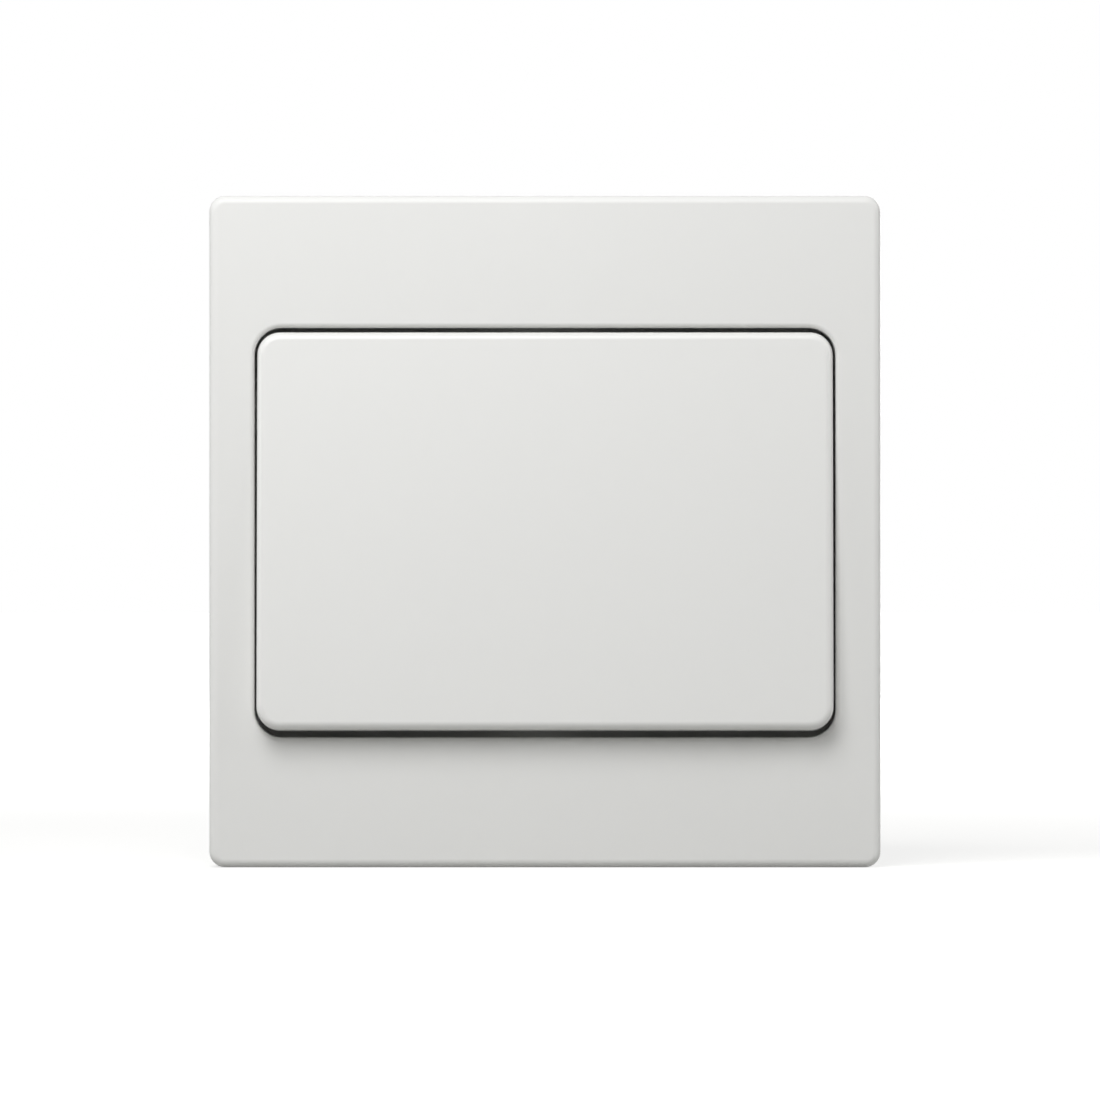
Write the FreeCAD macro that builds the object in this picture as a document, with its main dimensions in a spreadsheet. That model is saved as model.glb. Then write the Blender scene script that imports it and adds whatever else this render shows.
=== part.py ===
"""Retractive push button light switch on a square 86 mm plate, modelled in millimetres.

The row's frame has +Z up, +X to the right and the front towards -Y. The wall is the plane Y = 0 and
the origin lies midway between the two fixing screws. Most pieces are drawn lying down, with their own
z as the height out of the wall, and are then stood up by their Placement. The pieces that tilt are
drawn about their own pivot, straight, and their Placement gives them the tilt they have at rest.
"""

import FreeCAD, Part
import math
import os
import re

import Sketcher

SIZES = {
    # Cover plate, levels are heights out of the wall
    "plate_width": 86.0,
    "plate_height": 86.0,
    "plate_level": 8.5,
    "plate_wall": 2.0,
    "plate_side_wall": 1.8,
    "plate_corner": 2.0,
    "plate_inner_corner": 1.0,
    "plate_edge_round": 1.0,
    "window_side_margin": 5.8,
    "window_height": 52.5,
    "window_drop": 0.15,
    "window_corner": 3.5,
    "window_edge_round": 0.6,
    "collar_wall": 1.4,
    "collar_foot": 4.0,
    "pry_notch_width": 6.0,
    "pry_notch_depth": 1.5,
    # Snaps that hold the cover on the frame
    "snap_spacing": 50.0,
    "snap_width": 8.0,
    "snap_level": 1.5,
    "snap_tongue_thickness": 1.0,
    "snap_tongue_reach": 0.7,
    "snap_clearance": 0.3,
    "snap_barb_height": 0.9,
    "snap_barb_reach": 0.7,
    "snap_barb_taper": 30.0,
    # Rocking button
    "button_side_gap": 0.35,
    "button_end_gap": 0.8,
    "button_drop": 0.2,
    "button_level": 10.3,
    "button_wall": 2.0,
    "button_skirt_wall": 1.6,
    "button_skirt_foot": 4.2,
    "button_edge_round": 1.0,
    "button_inner_corner": 1.6,
    "button_rib_wall": 1.0,
    "button_rib_height": 2.0,
    "button_rib_across": 18.0,
    "button_rib_up": 18.5,
    "rest_tilt": 3.6,
    "pivot_level": 4.6,
    # Clips between the button and the dolly
    "clip_spacing": 12.0,
    "clip_width": 5.0,
    "clip_wall": 1.4,
    "clip_notch_depth": 0.8,
    "clip_barb_reach": 0.8,
    "clip_barb_height": 0.9,
    "clip_barb_taper": 25.0,
    "clip_clearance": 0.1,
    "locator_wall": 1.0,
    "locator_height": 1.5,
    "locator_near": 5.0,
    "locator_far": 9.0,
    # Mounting frame
    "frame_gap": 1.0,
    "frame_corner": 3.0,
    "frame_web": 1.8,
    "frame_rim_wall": 1.4,
    "frame_rim_level": 3.6,
    "frame_rib_wall": 1.2,
    "frame_rib_level": 2.9,
    "frame_rib_up": 12.5,
    "frame_tall_rib_level": 3.4,
    "frame_tall_rib_across": 13.0,
    "frame_hook_width": 8.0,
    "frame_hook_wall": 1.2,
    "frame_hook_reach": 0.8,
    "frame_hook_barb": 0.8,
    "stop_pad_width": 4.0,
    "stop_pad_across": 20.0,
    "stop_clearance": 0.1,
    # Fixing screws and the slots they pass through
    "spare_slot_spacing": 60.3,
    "fixing_slot_width": 3.9,
    "fixing_slot_length": 6.0,
    "fixing_seat_height": 0.6,
    "fixing_seat_wall": 1.8,
    "screw_shank_radius": 1.75,
    "screw_length": 25.0,
    "screw_neck_radius": 1.5,
    "screw_neck_past_wall": 0.1,
    "screw_tip_chamfer": 0.8,
    "screw_head_radius": 3.5,
    "screw_head_gap": 1.6,
    "screw_head_height": 2.3,
    "screw_head_round": 1.4,
    "screw_recess_span": 3.6,
    "screw_recess_width": 0.9,
    "screw_recess_depth": 1.4,
    # Mechanism housing
    "base_width": 32.0,
    "base_height": 42.0,
    "base_depth": 24.0,
    "base_wall": 1.4,
    "base_corner": 2.0,
    "base_rear_chamfer": 0.8,
    "base_flange_reach": 1.8,
    "base_flange_thickness": 1.0,
    "base_frame_gap": 0.2,
    "base_rim_wall": 0.8,
    "base_inner_wall": 1.2,
    "chamber_half_width": 4.6,
    "chamber_share": 0.2833,
    "divider_wall": 1.0,
    "lid_wall": 1.4,
    "lid_clearance": 0.1,
    "lid_barb_width": 6.0,
    "lid_barb_reach": 0.5,
    "lid_barb_height": 0.7,
    "lid_barb_spacing": 16.0,
    "lid_barb_rise": 0.5,
    # Snap bearings of the lid and the trunnions in them
    "trunnion_radius": 1.3,
    "trunnion_clearance": 0.05,
    "ear_radius": 2.6,
    "ear_wall": 2.2,
    "ear_gap": 1.0,
    "ear_mouth_width": 2.3,
    # Dolly under the button
    "dolly_width": 22.0,
    "dolly_height": 28.0,
    "dolly_wall": 2.1,
    "dolly_corner": 1.5,
    "cheek_wall": 1.6,
    "cheek_radius": 1.5,
    "stem_radius": 3.5,
    "stem_nose_gap": 1.0,
    "stem_clearance": 0.4,
    "stem_roof": 1.5,
    "stem_web_wall": 1.2,
    # Return spring
    "return_spring_gap": 0.4,
    "return_spring_wire": 0.45,
    "return_spring_turns": 5.0,
    "return_cup_land": 1.0,
    "return_cup_wall": 0.7,
    "return_cup_floor": 1.0,
    "return_cup_gap": 0.2,
    "return_cup_level": -2.0,
    "return_spigot_gap": 0.35,
    "return_spigot_length": 1.8,
    "spring_seat_gap": 0.05,
    # Plunger and its spring
    "plunger_radius": 2.2,
    "plunger_clearance": 0.05,
    "plunger_length": 6.0,
    "plunger_spring_bore": 1.5,
    "plunger_spring_depth": 3.0,
    "plunger_spring_radius": 1.35,
    "plunger_spring_wire": 0.3,
    "plunger_spring_turns": 7.0,
    # Contact see-saw
    "contact_tilt": 6.0,
    "seesaw_width": 6.0,
    "seesaw_end_gap": 1.4,
    "seesaw_thickness": 0.8,
    "seesaw_lift": 0.2,
    "seesaw_guide_wall": 0.6,
    "seesaw_guide_height": 1.0,
    "seesaw_guide_length": 12.0,
    "seesaw_clearance": 0.06,
    "fulcrum_radius": 0.5,
    "fulcrum_clearance": 0.05,
    # Contact rivets and brass strips
    "contact_from_end": 1.5,
    "contact_clearance": 0.05,
    "moving_tip_radius": 1.5,
    "fixed_tip_radius": 1.7,
    "tip_height": 0.7,
    "fixed_tip_dome": 8.0,
    "rivet_radius": 0.7,
    "rivet_clearance": 0.03,
    "rivet_head_radius": 1.1,
    "rivet_head_height": 0.3,
    "strip_width": 4.0,
    "strip_thickness": 0.8,
    "strip_clearance": 0.1,
    "strip_end_past_tip": 2.2,
    "rest_dimple_radius": 1.0,
    "rest_dimple_from_end": 0.8,
    "rest_dimple_round": 0.5,
    "rest_clearance": 0.1,
    # Terminals
    "terminal_width": 7.0,
    "terminal_clearance": 0.1,
    "terminal_edge_chamfer": 0.4,
    "terminal_bore_radius": 2.0,
    "terminal_bore_cover": 1.5,
    "terminal_screw_radius": 1.72,
    "terminal_screw_clearance": 0.03,
    "terminal_screw_back_off": 0.1,
    "terminal_screw_slot_width": 0.8,
    "terminal_screw_slot_depth": 1.0,
    "terminal_screw_chamfer": 0.3,
    "terminal_stud_radius": 0.9,
    "terminal_stud_proud": 0.3,
    "wire_entry_radius": 2.4,
    "wire_entry_chamfer": 0.6,
    "screw_access_radius": 2.1,
}

PLACES = {
    # Half sizes and levels that several pieces share
    "plate_inside_width": "plate_width - 2*plate_side_wall",
    "plate_inside_height": "plate_height - 2*plate_side_wall",
    "frame_width": "plate_inside_width - 2*frame_gap",
    "frame_height": "plate_inside_height - 2*frame_gap",
    "window_width": "plate_width - 2*window_side_margin",
    "button_width": "window_width - 2*button_side_gap",
    "button_height": "window_height - 2*button_end_gap",
    "button_corner": "window_corner - (button_side_gap + button_end_gap)/2",
    "button_face": "button_level - pivot_level",
    "button_ceiling": "button_face - button_wall",
    "button_inside_width": "button_width - 2*button_skirt_wall",
    "button_inside_height": "button_height - 2*button_skirt_wall",
    "fixing_spacing": "button_inside_width - 2*(screw_head_radius + screw_head_gap)",
    "skirt_end": "button_skirt_foot - pivot_level",
    "screw_neck_length": "frame_web + fixing_seat_height + screw_neck_past_wall",
    "skirt_low_level": "pivot_level + skirt_end*cos(rest_tilt)"
    " - (button_height/2 + button_drop)*sin(rest_tilt)",
    "dolly_floor": "button_ceiling - dolly_wall",
    "clip_seat": "dolly_height/2 - clip_notch_depth",
    "clip_leg": "clip_seat + clip_clearance",
    "flange_level": "frame_web + base_flange_thickness",
    "base_floor": "base_wall - base_depth",
    "lid_seat": "flange_level - lid_wall",
    "lid_barb_level": "lid_seat + lid_barb_rise",
    "flange_width": "base_width + 2*base_flange_reach",
    "flange_height": "base_height + 2*base_flange_reach",
    "rebate_width": "base_width - 2*base_rim_wall",
    "rebate_height": "base_height - 2*base_rim_wall",
    "base_inside_width": "base_width - 2*base_wall",
    "base_inside_height": "base_height - 2*base_wall",
    "chamber_half_height": "base_height*chamber_share",
    "ear_place": "dolly_width/2 + ear_gap",
    "plunger_reach": "base_depth/2",
    "stem_length": "plunger_reach - stem_nose_gap",
    "stem_end": "0 - stem_length",
    "stem_swing": "(pivot_level - lid_seat)*sin(rest_tilt)",
    "return_cup_bottom": "return_cup_level - return_cup_floor",
    "return_cup_room": "chamber_half_height - stem_radius - stem_clearance - stem_swing",
    "return_cup_radius": "(return_cup_room - return_cup_gap - return_cup_land)/2 - return_cup_wall",
    "return_spring_radius": "return_cup_radius - return_spring_gap",
    "return_spigot_radius": "return_spring_radius - return_spring_wire - return_spigot_gap",
    "return_spring_place": "chamber_half_height - return_cup_gap - return_cup_wall - return_cup_radius",
    "spring_top": "pivot_level + dolly_floor*cos(rest_tilt) + return_spring_place*sin(rest_tilt)",
    "seesaw_front": "seesaw_lift + seesaw_thickness",
    "seesaw_length": "2*(chamber_half_height - seesaw_end_gap)",
    "contact_place": "seesaw_length/2 - contact_from_end",
    "rest_dimple_place": "seesaw_length/2 - rest_dimple_from_end",
    "fulcrum_level": "pivot_level - plunger_reach - plunger_radius - seesaw_front - seesaw_clearance",
    "moving_tip_face": "tip_height - seesaw_lift",
    "closed_level": "fulcrum_level - moving_tip_face*cos(contact_tilt) - contact_place*sin(contact_tilt)",
    "closed_place": "contact_place*cos(contact_tilt) - moving_tip_face*sin(contact_tilt)",
    "dome_centre": "closed_level - (fixed_tip_dome + contact_clearance)/cos(contact_tilt)",
    "strip_front": "dome_centre + fixed_tip_dome - tip_height",
    "strip_back": "strip_front - strip_thickness",
    "strip_end": "base_inside_height/2 - strip_clearance",
    "rest_level": "fulcrum_level + seesaw_lift*cos(contact_tilt) - seesaw_length/2*sin(contact_tilt)"
    " - rest_clearance",
    "terminal_inner": "chamber_half_height + divider_wall + terminal_clearance",
    "terminal_height": "base_inside_height/2 - terminal_clearance - terminal_inner",
    "terminal_place": "terminal_inner + terminal_height/2",
    "terminal_bore_level": "strip_back - terminal_bore_cover - terminal_bore_radius",
    "terminal_screw_front": "terminal_bore_level - terminal_bore_radius - terminal_screw_back_off",
}

ROOT = "PartDesign::"
LYING_TO_STANDING = 90

doc = FreeCAD.newDocument("push_button_switch")


def cell_names(names, sheet):
    """Writes a dictionary of sizes or formulas into a sheet, one aliased cell a row."""
    for row, (name, content) in enumerate(names.items(), start=1):
        sheet.set(f"A{row}", name)
        sheet.set(f"B{row}", content if isinstance(content, str) else str(content))
        sheet.setAlias(f"B{row}", name)


def formula(text):
    """The expression for a text whose words are names of SIZES or PLACES."""

    def cell(match):
        word = match.group()
        return f"sizes.{word}" if word in SIZES else f"places.{word}" if word in PLACES else word

    return re.sub(r"[a-z][a-z_]+\b(?!\()", cell, text)


def value(text):
    """The number that a formula has now."""
    return float(places.evalExpression(formula(text)))


def new_body(name, out="0", up="0", across="0", turn="0"):
    """A body drawn lying down and stood up at its place, turned about X by its tilt at rest."""
    body = doc.addObject(ROOT + "Body", name)
    body.Label = name
    x_axis = FreeCAD.Vector(1, 0, 0)
    body.Placement = FreeCAD.Placement(FreeCAD.Vector(), FreeCAD.Rotation(x_axis, LYING_TO_STANDING))
    body.setExpression("Placement.Base.x", formula(across))
    body.setExpression("Placement.Base.y", formula(f"0 - ({out})"))
    body.setExpression("Placement.Base.z", formula(up))
    body.setExpression("Placement.Rotation.Angle", formula(f"{LYING_TO_STANDING} + ({turn})"))
    return body


def origin_part(body, role):
    """One of the planes or axes of a body's origin."""
    return next(part for part in body.Origin.OriginFeatures if part.Role == role)


class Outline:
    """A sketch on an origin plane of a body, with each point and radius tied to the sheets."""

    def __init__(self, body, name, plane="XY_Plane", level="0", drop="0"):
        self.sketch = body.newObject("Sketcher::SketchObject", f"{body.Name}_{name}")
        self.sketch.AttachmentSupport = [(origin_part(body, plane), "")]
        self.sketch.MapMode = "FlatFace"
        self.sketch.setExpression("AttachmentOffset.Base.y", formula(f"0 - ({drop})"))
        self.sketch.setExpression("AttachmentOffset.Base.z", formula(level))

    def tie(self, kind, *where, to):
        """A constraint of one measure, bound to its formula."""
        index = self.sketch.addConstraint(Sketcher.Constraint(kind, *where, value(to)))
        self.sketch.setExpression(f"Constraints[{index}]", formula(to))

    def tie_point(self, edge, end, x, y):
        """Fixes one end of an edge at x, y from the origin."""
        self.tie("DistanceX", -1, 1, edge, end, to=x)
        self.tie("DistanceY", -1, 1, edge, end, to=y)

    def path(self, *stops):
        """A closed outline through stops (x, y), or (x, y, centre x, centre y, radius) after an arc.

        An arc runs the short way round from the stop before it.
        """
        spots = [FreeCAD.Vector(value(stop[0]), value(stop[1]), 0) for stop in stops]
        edges = []
        for number, stop in enumerate(stops):
            start = spots[number - 1]
            end = spots[number]
            if len(stop) == 2:
                edges.append((self.sketch.addGeometry(Part.LineSegment(start, end)), 1, 2))
                continue
            edges.append(self.arc(start, end, FreeCAD.Vector(value(stop[2]), value(stop[3]), 0)))
            self.tie("Radius", edges[-1][0], to=stop[4])
        for number, stop in enumerate(stops):
            edge, _, tail = edges[number]
            after, head, _ = edges[(number + 1) % len(edges)]
            self.sketch.addConstraint(Sketcher.Constraint("Coincident", edge, tail, after, head))
            self.tie_point(edge, tail, stop[0], stop[1])
        return self

    def arc(self, start, end, centre):
        """Adds an arc and returns it with the numbers of its start and end as the path runs."""
        first = start - centre
        last = end - centre
        backwards = first.cross(last).z < 0
        angles = [math.atan2(spoke.y, spoke.x) for spoke in ((last, first) if backwards else (first, last))]
        if angles[1] < angles[0]:
            angles[1] += 2 * math.pi
        circle = Part.Circle(centre, FreeCAD.Vector(0, 0, 1), first.Length)
        edge = self.sketch.addGeometry(Part.ArcOfCircle(circle, *angles))
        return (edge, 2, 1) if backwards else (edge, 1, 2)

    def rectangle(self, left, right, low, high):
        """A rectangle between four formulas."""
        return self.path((left, low), (right, low), (right, high), (left, high))

    def rounded(self, width, height, radius):
        """A rectangle centred on the origin with rounded corners."""
        x, y = f"({width})/2", f"({height})/2"
        near_x, near_y = f"({x} - ({radius}))", f"({y} - ({radius}))"
        return self.path(
            (near_x, f"0 - {y}"),
            (x, f"0 - {near_y}", near_x, f"0 - {near_y}", radius),
            (x, near_y),
            (near_x, y, near_x, near_y, radius),
            (f"0 - {near_x}", y),
            (f"0 - {x}", near_y, f"0 - {near_x}", near_y, radius),
            (f"0 - {x}", f"0 - {near_y}"),
            (f"0 - {near_x}", f"0 - {y}", f"0 - {near_x}", f"0 - {near_y}", radius),
        )

    def circle(self, radius, x="0", y="0"):
        """A circle about x, y."""
        centre = FreeCAD.Vector(value(x), value(y), 0)
        edge = self.sketch.addGeometry(Part.Circle(centre, FreeCAD.Vector(0, 0, 1), value(radius)))
        self.tie("Radius", edge, to=radius)
        self.tie_point(edge, 3, x, y)
        return self

    def slot(self, half_width, half_length, x="0", y="0"):
        """An obround along X about x, y."""
        straight = f"(({half_length}) - ({half_width}))"
        left, right = f"({x}) - {straight}", f"({x}) + {straight}"
        low, high = f"({y}) - ({half_width})", f"({y}) + ({half_width})"
        far_right, far_left = f"({x}) + ({half_length})", f"({x}) - ({half_length})"
        return self.path(
            (right, low),
            (far_right, y, right, y, half_width),
            (right, high, right, y, half_width),
            (left, high),
            (far_left, y, left, y, half_width),
            (left, low, left, y, half_width),
        )


def feature(body, kind, name, outline=None):
    """A feature of a body, on a sketch where it has one."""
    made = body.newObject(ROOT + kind, f"{body.Name}_{name}")
    if outline is not None:
        made.Profile = outline.sketch
    return made


def pad(body, name, outline, length, back=False, taper=None):
    """Extrudes an outline along its plane's normal, or back against it."""
    made = feature(body, "Pad", name, outline)
    made.setExpression("Length", formula(length))
    made.Reversed = back
    if taper:
        made.setExpression("TaperAngle", formula(taper))
    return made


def cut(body, name, outline, depth, forward=False):
    """Cuts an outline back against its plane's normal, or forward along it."""
    made = feature(body, "Pocket", name, outline)
    made.setExpression("Length", formula(depth))
    made.Reversed = forward
    return made


def turned(body, name, outline):
    """Revolves an outline on the XZ plane about the body's Z axis."""
    made = feature(body, "Revolution", name, outline)
    made.ReferenceAxis = (outline.sketch, ["V_Axis"])
    made.Angle = 360
    return made


def mirrored(body, name, originals, plane):
    """Mirrors features in one of the body's origin planes."""
    made = feature(body, "Mirrored", name)
    made.Originals = originals
    made.MirrorPlane = (origin_part(body, plane), [""])
    body.Tip = made
    return made


def edge_dressing(body, kind, name, base, size, chosen):
    """A Fillet or Chamfer on the edges of a feature that a rule chooses."""
    doc.recompute()
    edges = [f"Edge{i}" for i, edge in enumerate(base.Shape.Edges, start=1) if chosen(edge)]
    made = feature(body, kind, name)
    made.Base = (base, edges)
    made.setExpression("Radius" if kind == "Fillet" else "Size", formula(size))
    return made


def flat_at(level):
    """A rule for edges that lie in the plane at a level of the body's Z."""

    def chosen(edge):
        box = edge.BoundBox
        return abs(box.ZMin - level) < FINE and abs(box.ZMax - level) < FINE

    return chosen


FINE = 1e-4

sizes = doc.addObject("Spreadsheet::Sheet", "sizes")
cell_names(SIZES, sizes)
doc.recompute()
places = doc.addObject("Spreadsheet::Sheet", "places")
cell_names({name: "=" + formula(text) for name, text in PLACES.items()}, places)
doc.recompute()


def make_cover_plate():
    """Clip-on cover with its window, a collar behind it and barbs for the frame's tongues."""
    body = new_body("cover_plate")
    outer = Outline(body, "outline").rounded("plate_width", "plate_height", "plate_corner")
    block = pad(body, "block", outer, "plate_level")
    edge_dressing(body, "Fillet", "edge", block, "plate_edge_round", flat_at(value("plate_level")))
    hollow = Outline(body, "hollow_outline")
    hollow.rounded("plate_inside_width", "plate_inside_height", "plate_inner_corner")
    cut(body, "hollow", hollow, "plate_level - plate_wall", forward=True)
    collar = Outline(body, "collar_outline", level="collar_foot", drop="window_drop")
    collar.rounded(
        "window_width + 2*collar_wall", "window_height + 2*collar_wall", "window_corner + collar_wall"
    )
    pad(body, "collar", collar, "plate_level - plate_wall - collar_foot")
    window = Outline(body, "window_outline", level="plate_level", drop="window_drop")
    window.rounded("window_width", "window_height", "window_corner")
    opening = cut(body, "window", window, "plate_level")

    def window_edge(edge):
        box = edge.BoundBox
        inside = max(abs(box.XMin), abs(box.XMax)) < value("window_width/2") + FINE
        return inside and flat_at(value("plate_level"))(edge)

    edge_dressing(body, "Fillet", "window_edge", opening, "window_edge_round", window_edge)
    barbs = Outline(body, "barb_outline", level="snap_level - snap_clearance")
    for across in ("snap_spacing/2", "0 - snap_spacing/2"):
        for side in ("", "0 - "):
            barbs.rectangle(
                f"{across} - snap_width/2",
                f"{across} + snap_width/2",
                f"{side}(plate_inside_height/2 - snap_barb_reach)",
                f"{side}(plate_height/2 - plate_side_wall/2)",
            )
    pad(body, "barbs", barbs, "snap_barb_height", back=True, taper="0 - snap_barb_taper")
    notch = Outline(body, "notch_outline", plane="XZ_Plane", level="plate_height/2")
    notch.rectangle("0 - pry_notch_width/2", "pry_notch_width/2", "0", "pry_notch_depth")
    cut(body, "pry_notch", notch, "plate_side_wall")
    return body


def make_button():
    """The button, drawn about the pivot, with ribs, clips and locators under its ceiling."""
    body = new_body("button", out="pivot_level", turn="0 - rest_tilt")
    outer = Outline(body, "outline", level="skirt_end", drop="button_drop")
    outer.rounded("button_width", "button_height", "button_corner")
    block = pad(body, "block", outer, "button_face - skirt_end")
    edge_dressing(body, "Fillet", "edge", block, "button_edge_round", flat_at(value("button_face")))
    hollow = Outline(body, "hollow_outline", level="skirt_end", drop="button_drop")
    hollow.rounded("button_inside_width", "button_inside_height", "button_inner_corner")
    cut(body, "hollow", hollow, "button_ceiling - skirt_end", forward=True)

    upright = Outline(body, "upright_rib_outline", level="button_ceiling")
    level_ribs = Outline(body, "level_rib_outline", level="button_ceiling")
    side_end = "(button_width - button_skirt_wall)/2"
    top_end = "(button_height - button_skirt_wall)/2"
    for side in ("", "0 - "):
        upright.rectangle(
            f"{side}button_rib_across",
            f"{side}(button_rib_across + button_rib_wall)",
            f"0 - {top_end}",
            top_end,
        )
        level_ribs.rectangle(
            f"0 - {side_end}",
            side_end,
            f"{side}button_rib_up",
            f"{side}(button_rib_up + button_rib_wall)",
        )
    pad(body, "upright_ribs", upright, "button_rib_height", back=True)
    pad(body, "level_ribs", level_ribs, "button_rib_height", back=True)

    legs = Outline(body, "clip_outline", level="button_ceiling")
    barbs = Outline(body, "clip_barb_outline", level="dolly_floor - clip_clearance")
    locators = Outline(body, "locator_outline", level="button_ceiling")
    for across in ("clip_spacing/2", "0 - clip_spacing/2"):
        left, right = f"{across} - clip_width/2", f"{across} + clip_width/2"
        for side in ("", "0 - "):
            legs.rectangle(left, right, f"{side}clip_leg", f"{side}(clip_leg + clip_wall)")
            barbs.rectangle(
                left, right, f"{side}(clip_leg - clip_barb_reach)", f"{side}(clip_leg + clip_wall)"
            )
    for across in ("", "0 - "):
        for side in ("", "0 - "):
            locators.rectangle(
                f"{across}(dolly_width/2 + clip_clearance)",
                f"{across}(dolly_width/2 + clip_clearance + locator_wall)",
                f"{side}locator_near",
                f"{side}locator_far",
            )
    pad(body, "clip_legs", legs, "dolly_wall + clip_clearance", back=True)
    pad(body, "clip_barbs", barbs, "clip_barb_height", back=True, taper="0 - clip_barb_taper")
    pad(body, "locators", locators, "locator_height", back=True)
    return body


def make_mounting_frame():
    """Frame screwed to the wall box: it takes the mechanism, the cover and the button's stops."""
    body = new_body("mounting_frame")
    outer = Outline(body, "outline").rounded("frame_width", "frame_height", "frame_corner")
    pad(body, "web", outer, "frame_web")
    rim = Outline(body, "rim_outline", level="frame_web")
    rim.rounded("frame_width", "frame_height", "frame_corner")
    rim.rounded(
        "frame_width - 2*frame_rim_wall",
        "frame_height - 2*frame_rim_wall",
        "frame_corner - frame_rim_wall",
    )
    pad(body, "rim", rim, "frame_rim_level - frame_web")

    tongues = Outline(body, "tongue_outline", level="snap_level")
    for across in ("snap_spacing/2", "0 - snap_spacing/2"):
        for side in ("", "0 - "):
            tongues.rectangle(
                f"{across} - snap_width/2",
                f"{across} + snap_width/2",
                f"{side}(frame_height/2 - frame_rim_wall/2)",
                f"{side}(frame_height/2 + snap_tongue_reach)",
            )
    pad(body, "tongues", tongues, "snap_tongue_thickness")

    side_ribs = Outline(body, "side_rib_outline", level="frame_web")
    tall_ribs = Outline(body, "tall_rib_outline", level="frame_web")
    stops = Outline(body, "stop_outline", level="frame_web")
    hooks = Outline(body, "hook_outline", level="frame_web")
    hook_barbs = Outline(body, "hook_barb_outline", level="flange_level + clip_clearance + frame_hook_barb")
    hook_face = "(flange_width/2 + base_frame_gap)"
    skirt_middle = "(button_height - button_skirt_wall)/2"
    for side in ("", "0 - "):
        hooks.rectangle(
            f"{side}{hook_face}",
            f"{side}({hook_face} + frame_hook_wall)",
            "0 - frame_hook_width/2",
            "frame_hook_width/2",
        )
        hook_barbs.rectangle(
            f"{side}({hook_face} - frame_hook_reach)",
            f"{side}({hook_face} + frame_hook_wall)",
            "0 - frame_hook_width/2",
            "frame_hook_width/2",
        )
        for across in ("", "0 - "):
            side_ribs.rectangle(
                f"{across}({hook_face} + frame_hook_wall)",
                f"{across}(frame_width/2 - frame_rim_wall/2)",
                f"{side}frame_rib_up",
                f"{side}(frame_rib_up + frame_rib_wall)",
            )
            tall_ribs.rectangle(
                f"{across}frame_tall_rib_across",
                f"{across}(frame_tall_rib_across + frame_rib_wall)",
                f"{side}(window_height/2 + window_drop + collar_wall + snap_clearance)",
                f"{side}(frame_height/2 - frame_rim_wall/2)",
            )
            stops.rectangle(
                f"{across}stop_pad_across",
                f"{across}(stop_pad_across + stop_pad_width)",
                f"{side}({skirt_middle} - button_skirt_wall/2)",
                f"{side}({skirt_middle} + button_skirt_wall/2)",
            )
    pad(body, "side_ribs", side_ribs, "frame_rib_level - frame_web")
    pad(body, "tall_ribs", tall_ribs, "frame_tall_rib_level - frame_web")
    pad(body, "stops", stops, "skirt_low_level - stop_clearance - frame_web")
    pad(body, "hooks", hooks, "flange_level + clip_clearance - frame_web")
    pad(body, "hook_barbs", hook_barbs, "frame_hook_barb", back=True)

    seats = Outline(body, "seat_outline", level="frame_web")
    slots = Outline(body, "slot_outline", level="frame_web + fixing_seat_height")
    for side in ("", "0 - "):
        across = f"{side}(fixing_spacing/2)"
        seats.slot(
            "fixing_slot_width/2 + fixing_seat_wall", "fixing_slot_length/2 + fixing_seat_wall", x=across
        )
        slots.slot("fixing_slot_width/2", "fixing_slot_length/2", x=across)
        slots.slot("fixing_slot_width/2", "fixing_slot_length/2", y=f"{side}(spare_slot_spacing/2)")
    pad(body, "seats", seats, "fixing_seat_height")
    cut(body, "slots", slots, "frame_web + fixing_seat_height")
    opening = Outline(body, "opening_outline", level="frame_web")
    opening.rounded(
        "base_width + 2*base_frame_gap", "base_height + 2*base_frame_gap", "base_corner + base_frame_gap"
    )
    cut(body, "opening", opening, "frame_web")
    return body


def make_fixing_screw(name, across):
    """Pan head screw with a cross recess and a thinner neck in the frame, drawn about its seat."""
    body = new_body(name, out="frame_web + fixing_seat_height", across=across)
    profile = Outline(body, "profile", plane="XZ_Plane")
    crown = "screw_head_height - screw_head_round"
    profile.path(
        ("0", "0 - screw_length"),
        ("screw_shank_radius - screw_tip_chamfer", "0 - screw_length"),
        ("screw_shank_radius", "screw_tip_chamfer - screw_length"),
        ("screw_shank_radius", "screw_neck_radius - screw_shank_radius - screw_neck_length"),
        ("screw_neck_radius", "0 - screw_neck_length"),
        ("screw_neck_radius", "0"),
        ("screw_head_radius", "0"),
        ("screw_head_radius", crown),
        (
            "screw_head_radius - screw_head_round",
            "screw_head_height",
            "screw_head_radius - screw_head_round",
            crown,
            "screw_head_round",
        ),
        ("0", "screw_head_height"),
    )
    turned(body, "turning", profile)
    far, near = "screw_recess_span/2", "screw_recess_width/2"
    recess = Outline(body, "recess_outline", level="screw_head_height")
    recess.path(
        (far, f"0 - {near}"),
        (far, near),
        (near, near),
        (near, far),
        (f"0 - {near}", far),
        (f"0 - {near}", near),
        (f"0 - {far}", near),
        (f"0 - {far}", f"0 - {near}"),
        (f"0 - {near}", f"0 - {near}"),
        (f"0 - {near}", f"0 - {far}"),
        (near, f"0 - {far}"),
        (near, f"0 - {near}"),
    )
    cut(body, "recess", recess, "screw_recess_depth")
    return body


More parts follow.
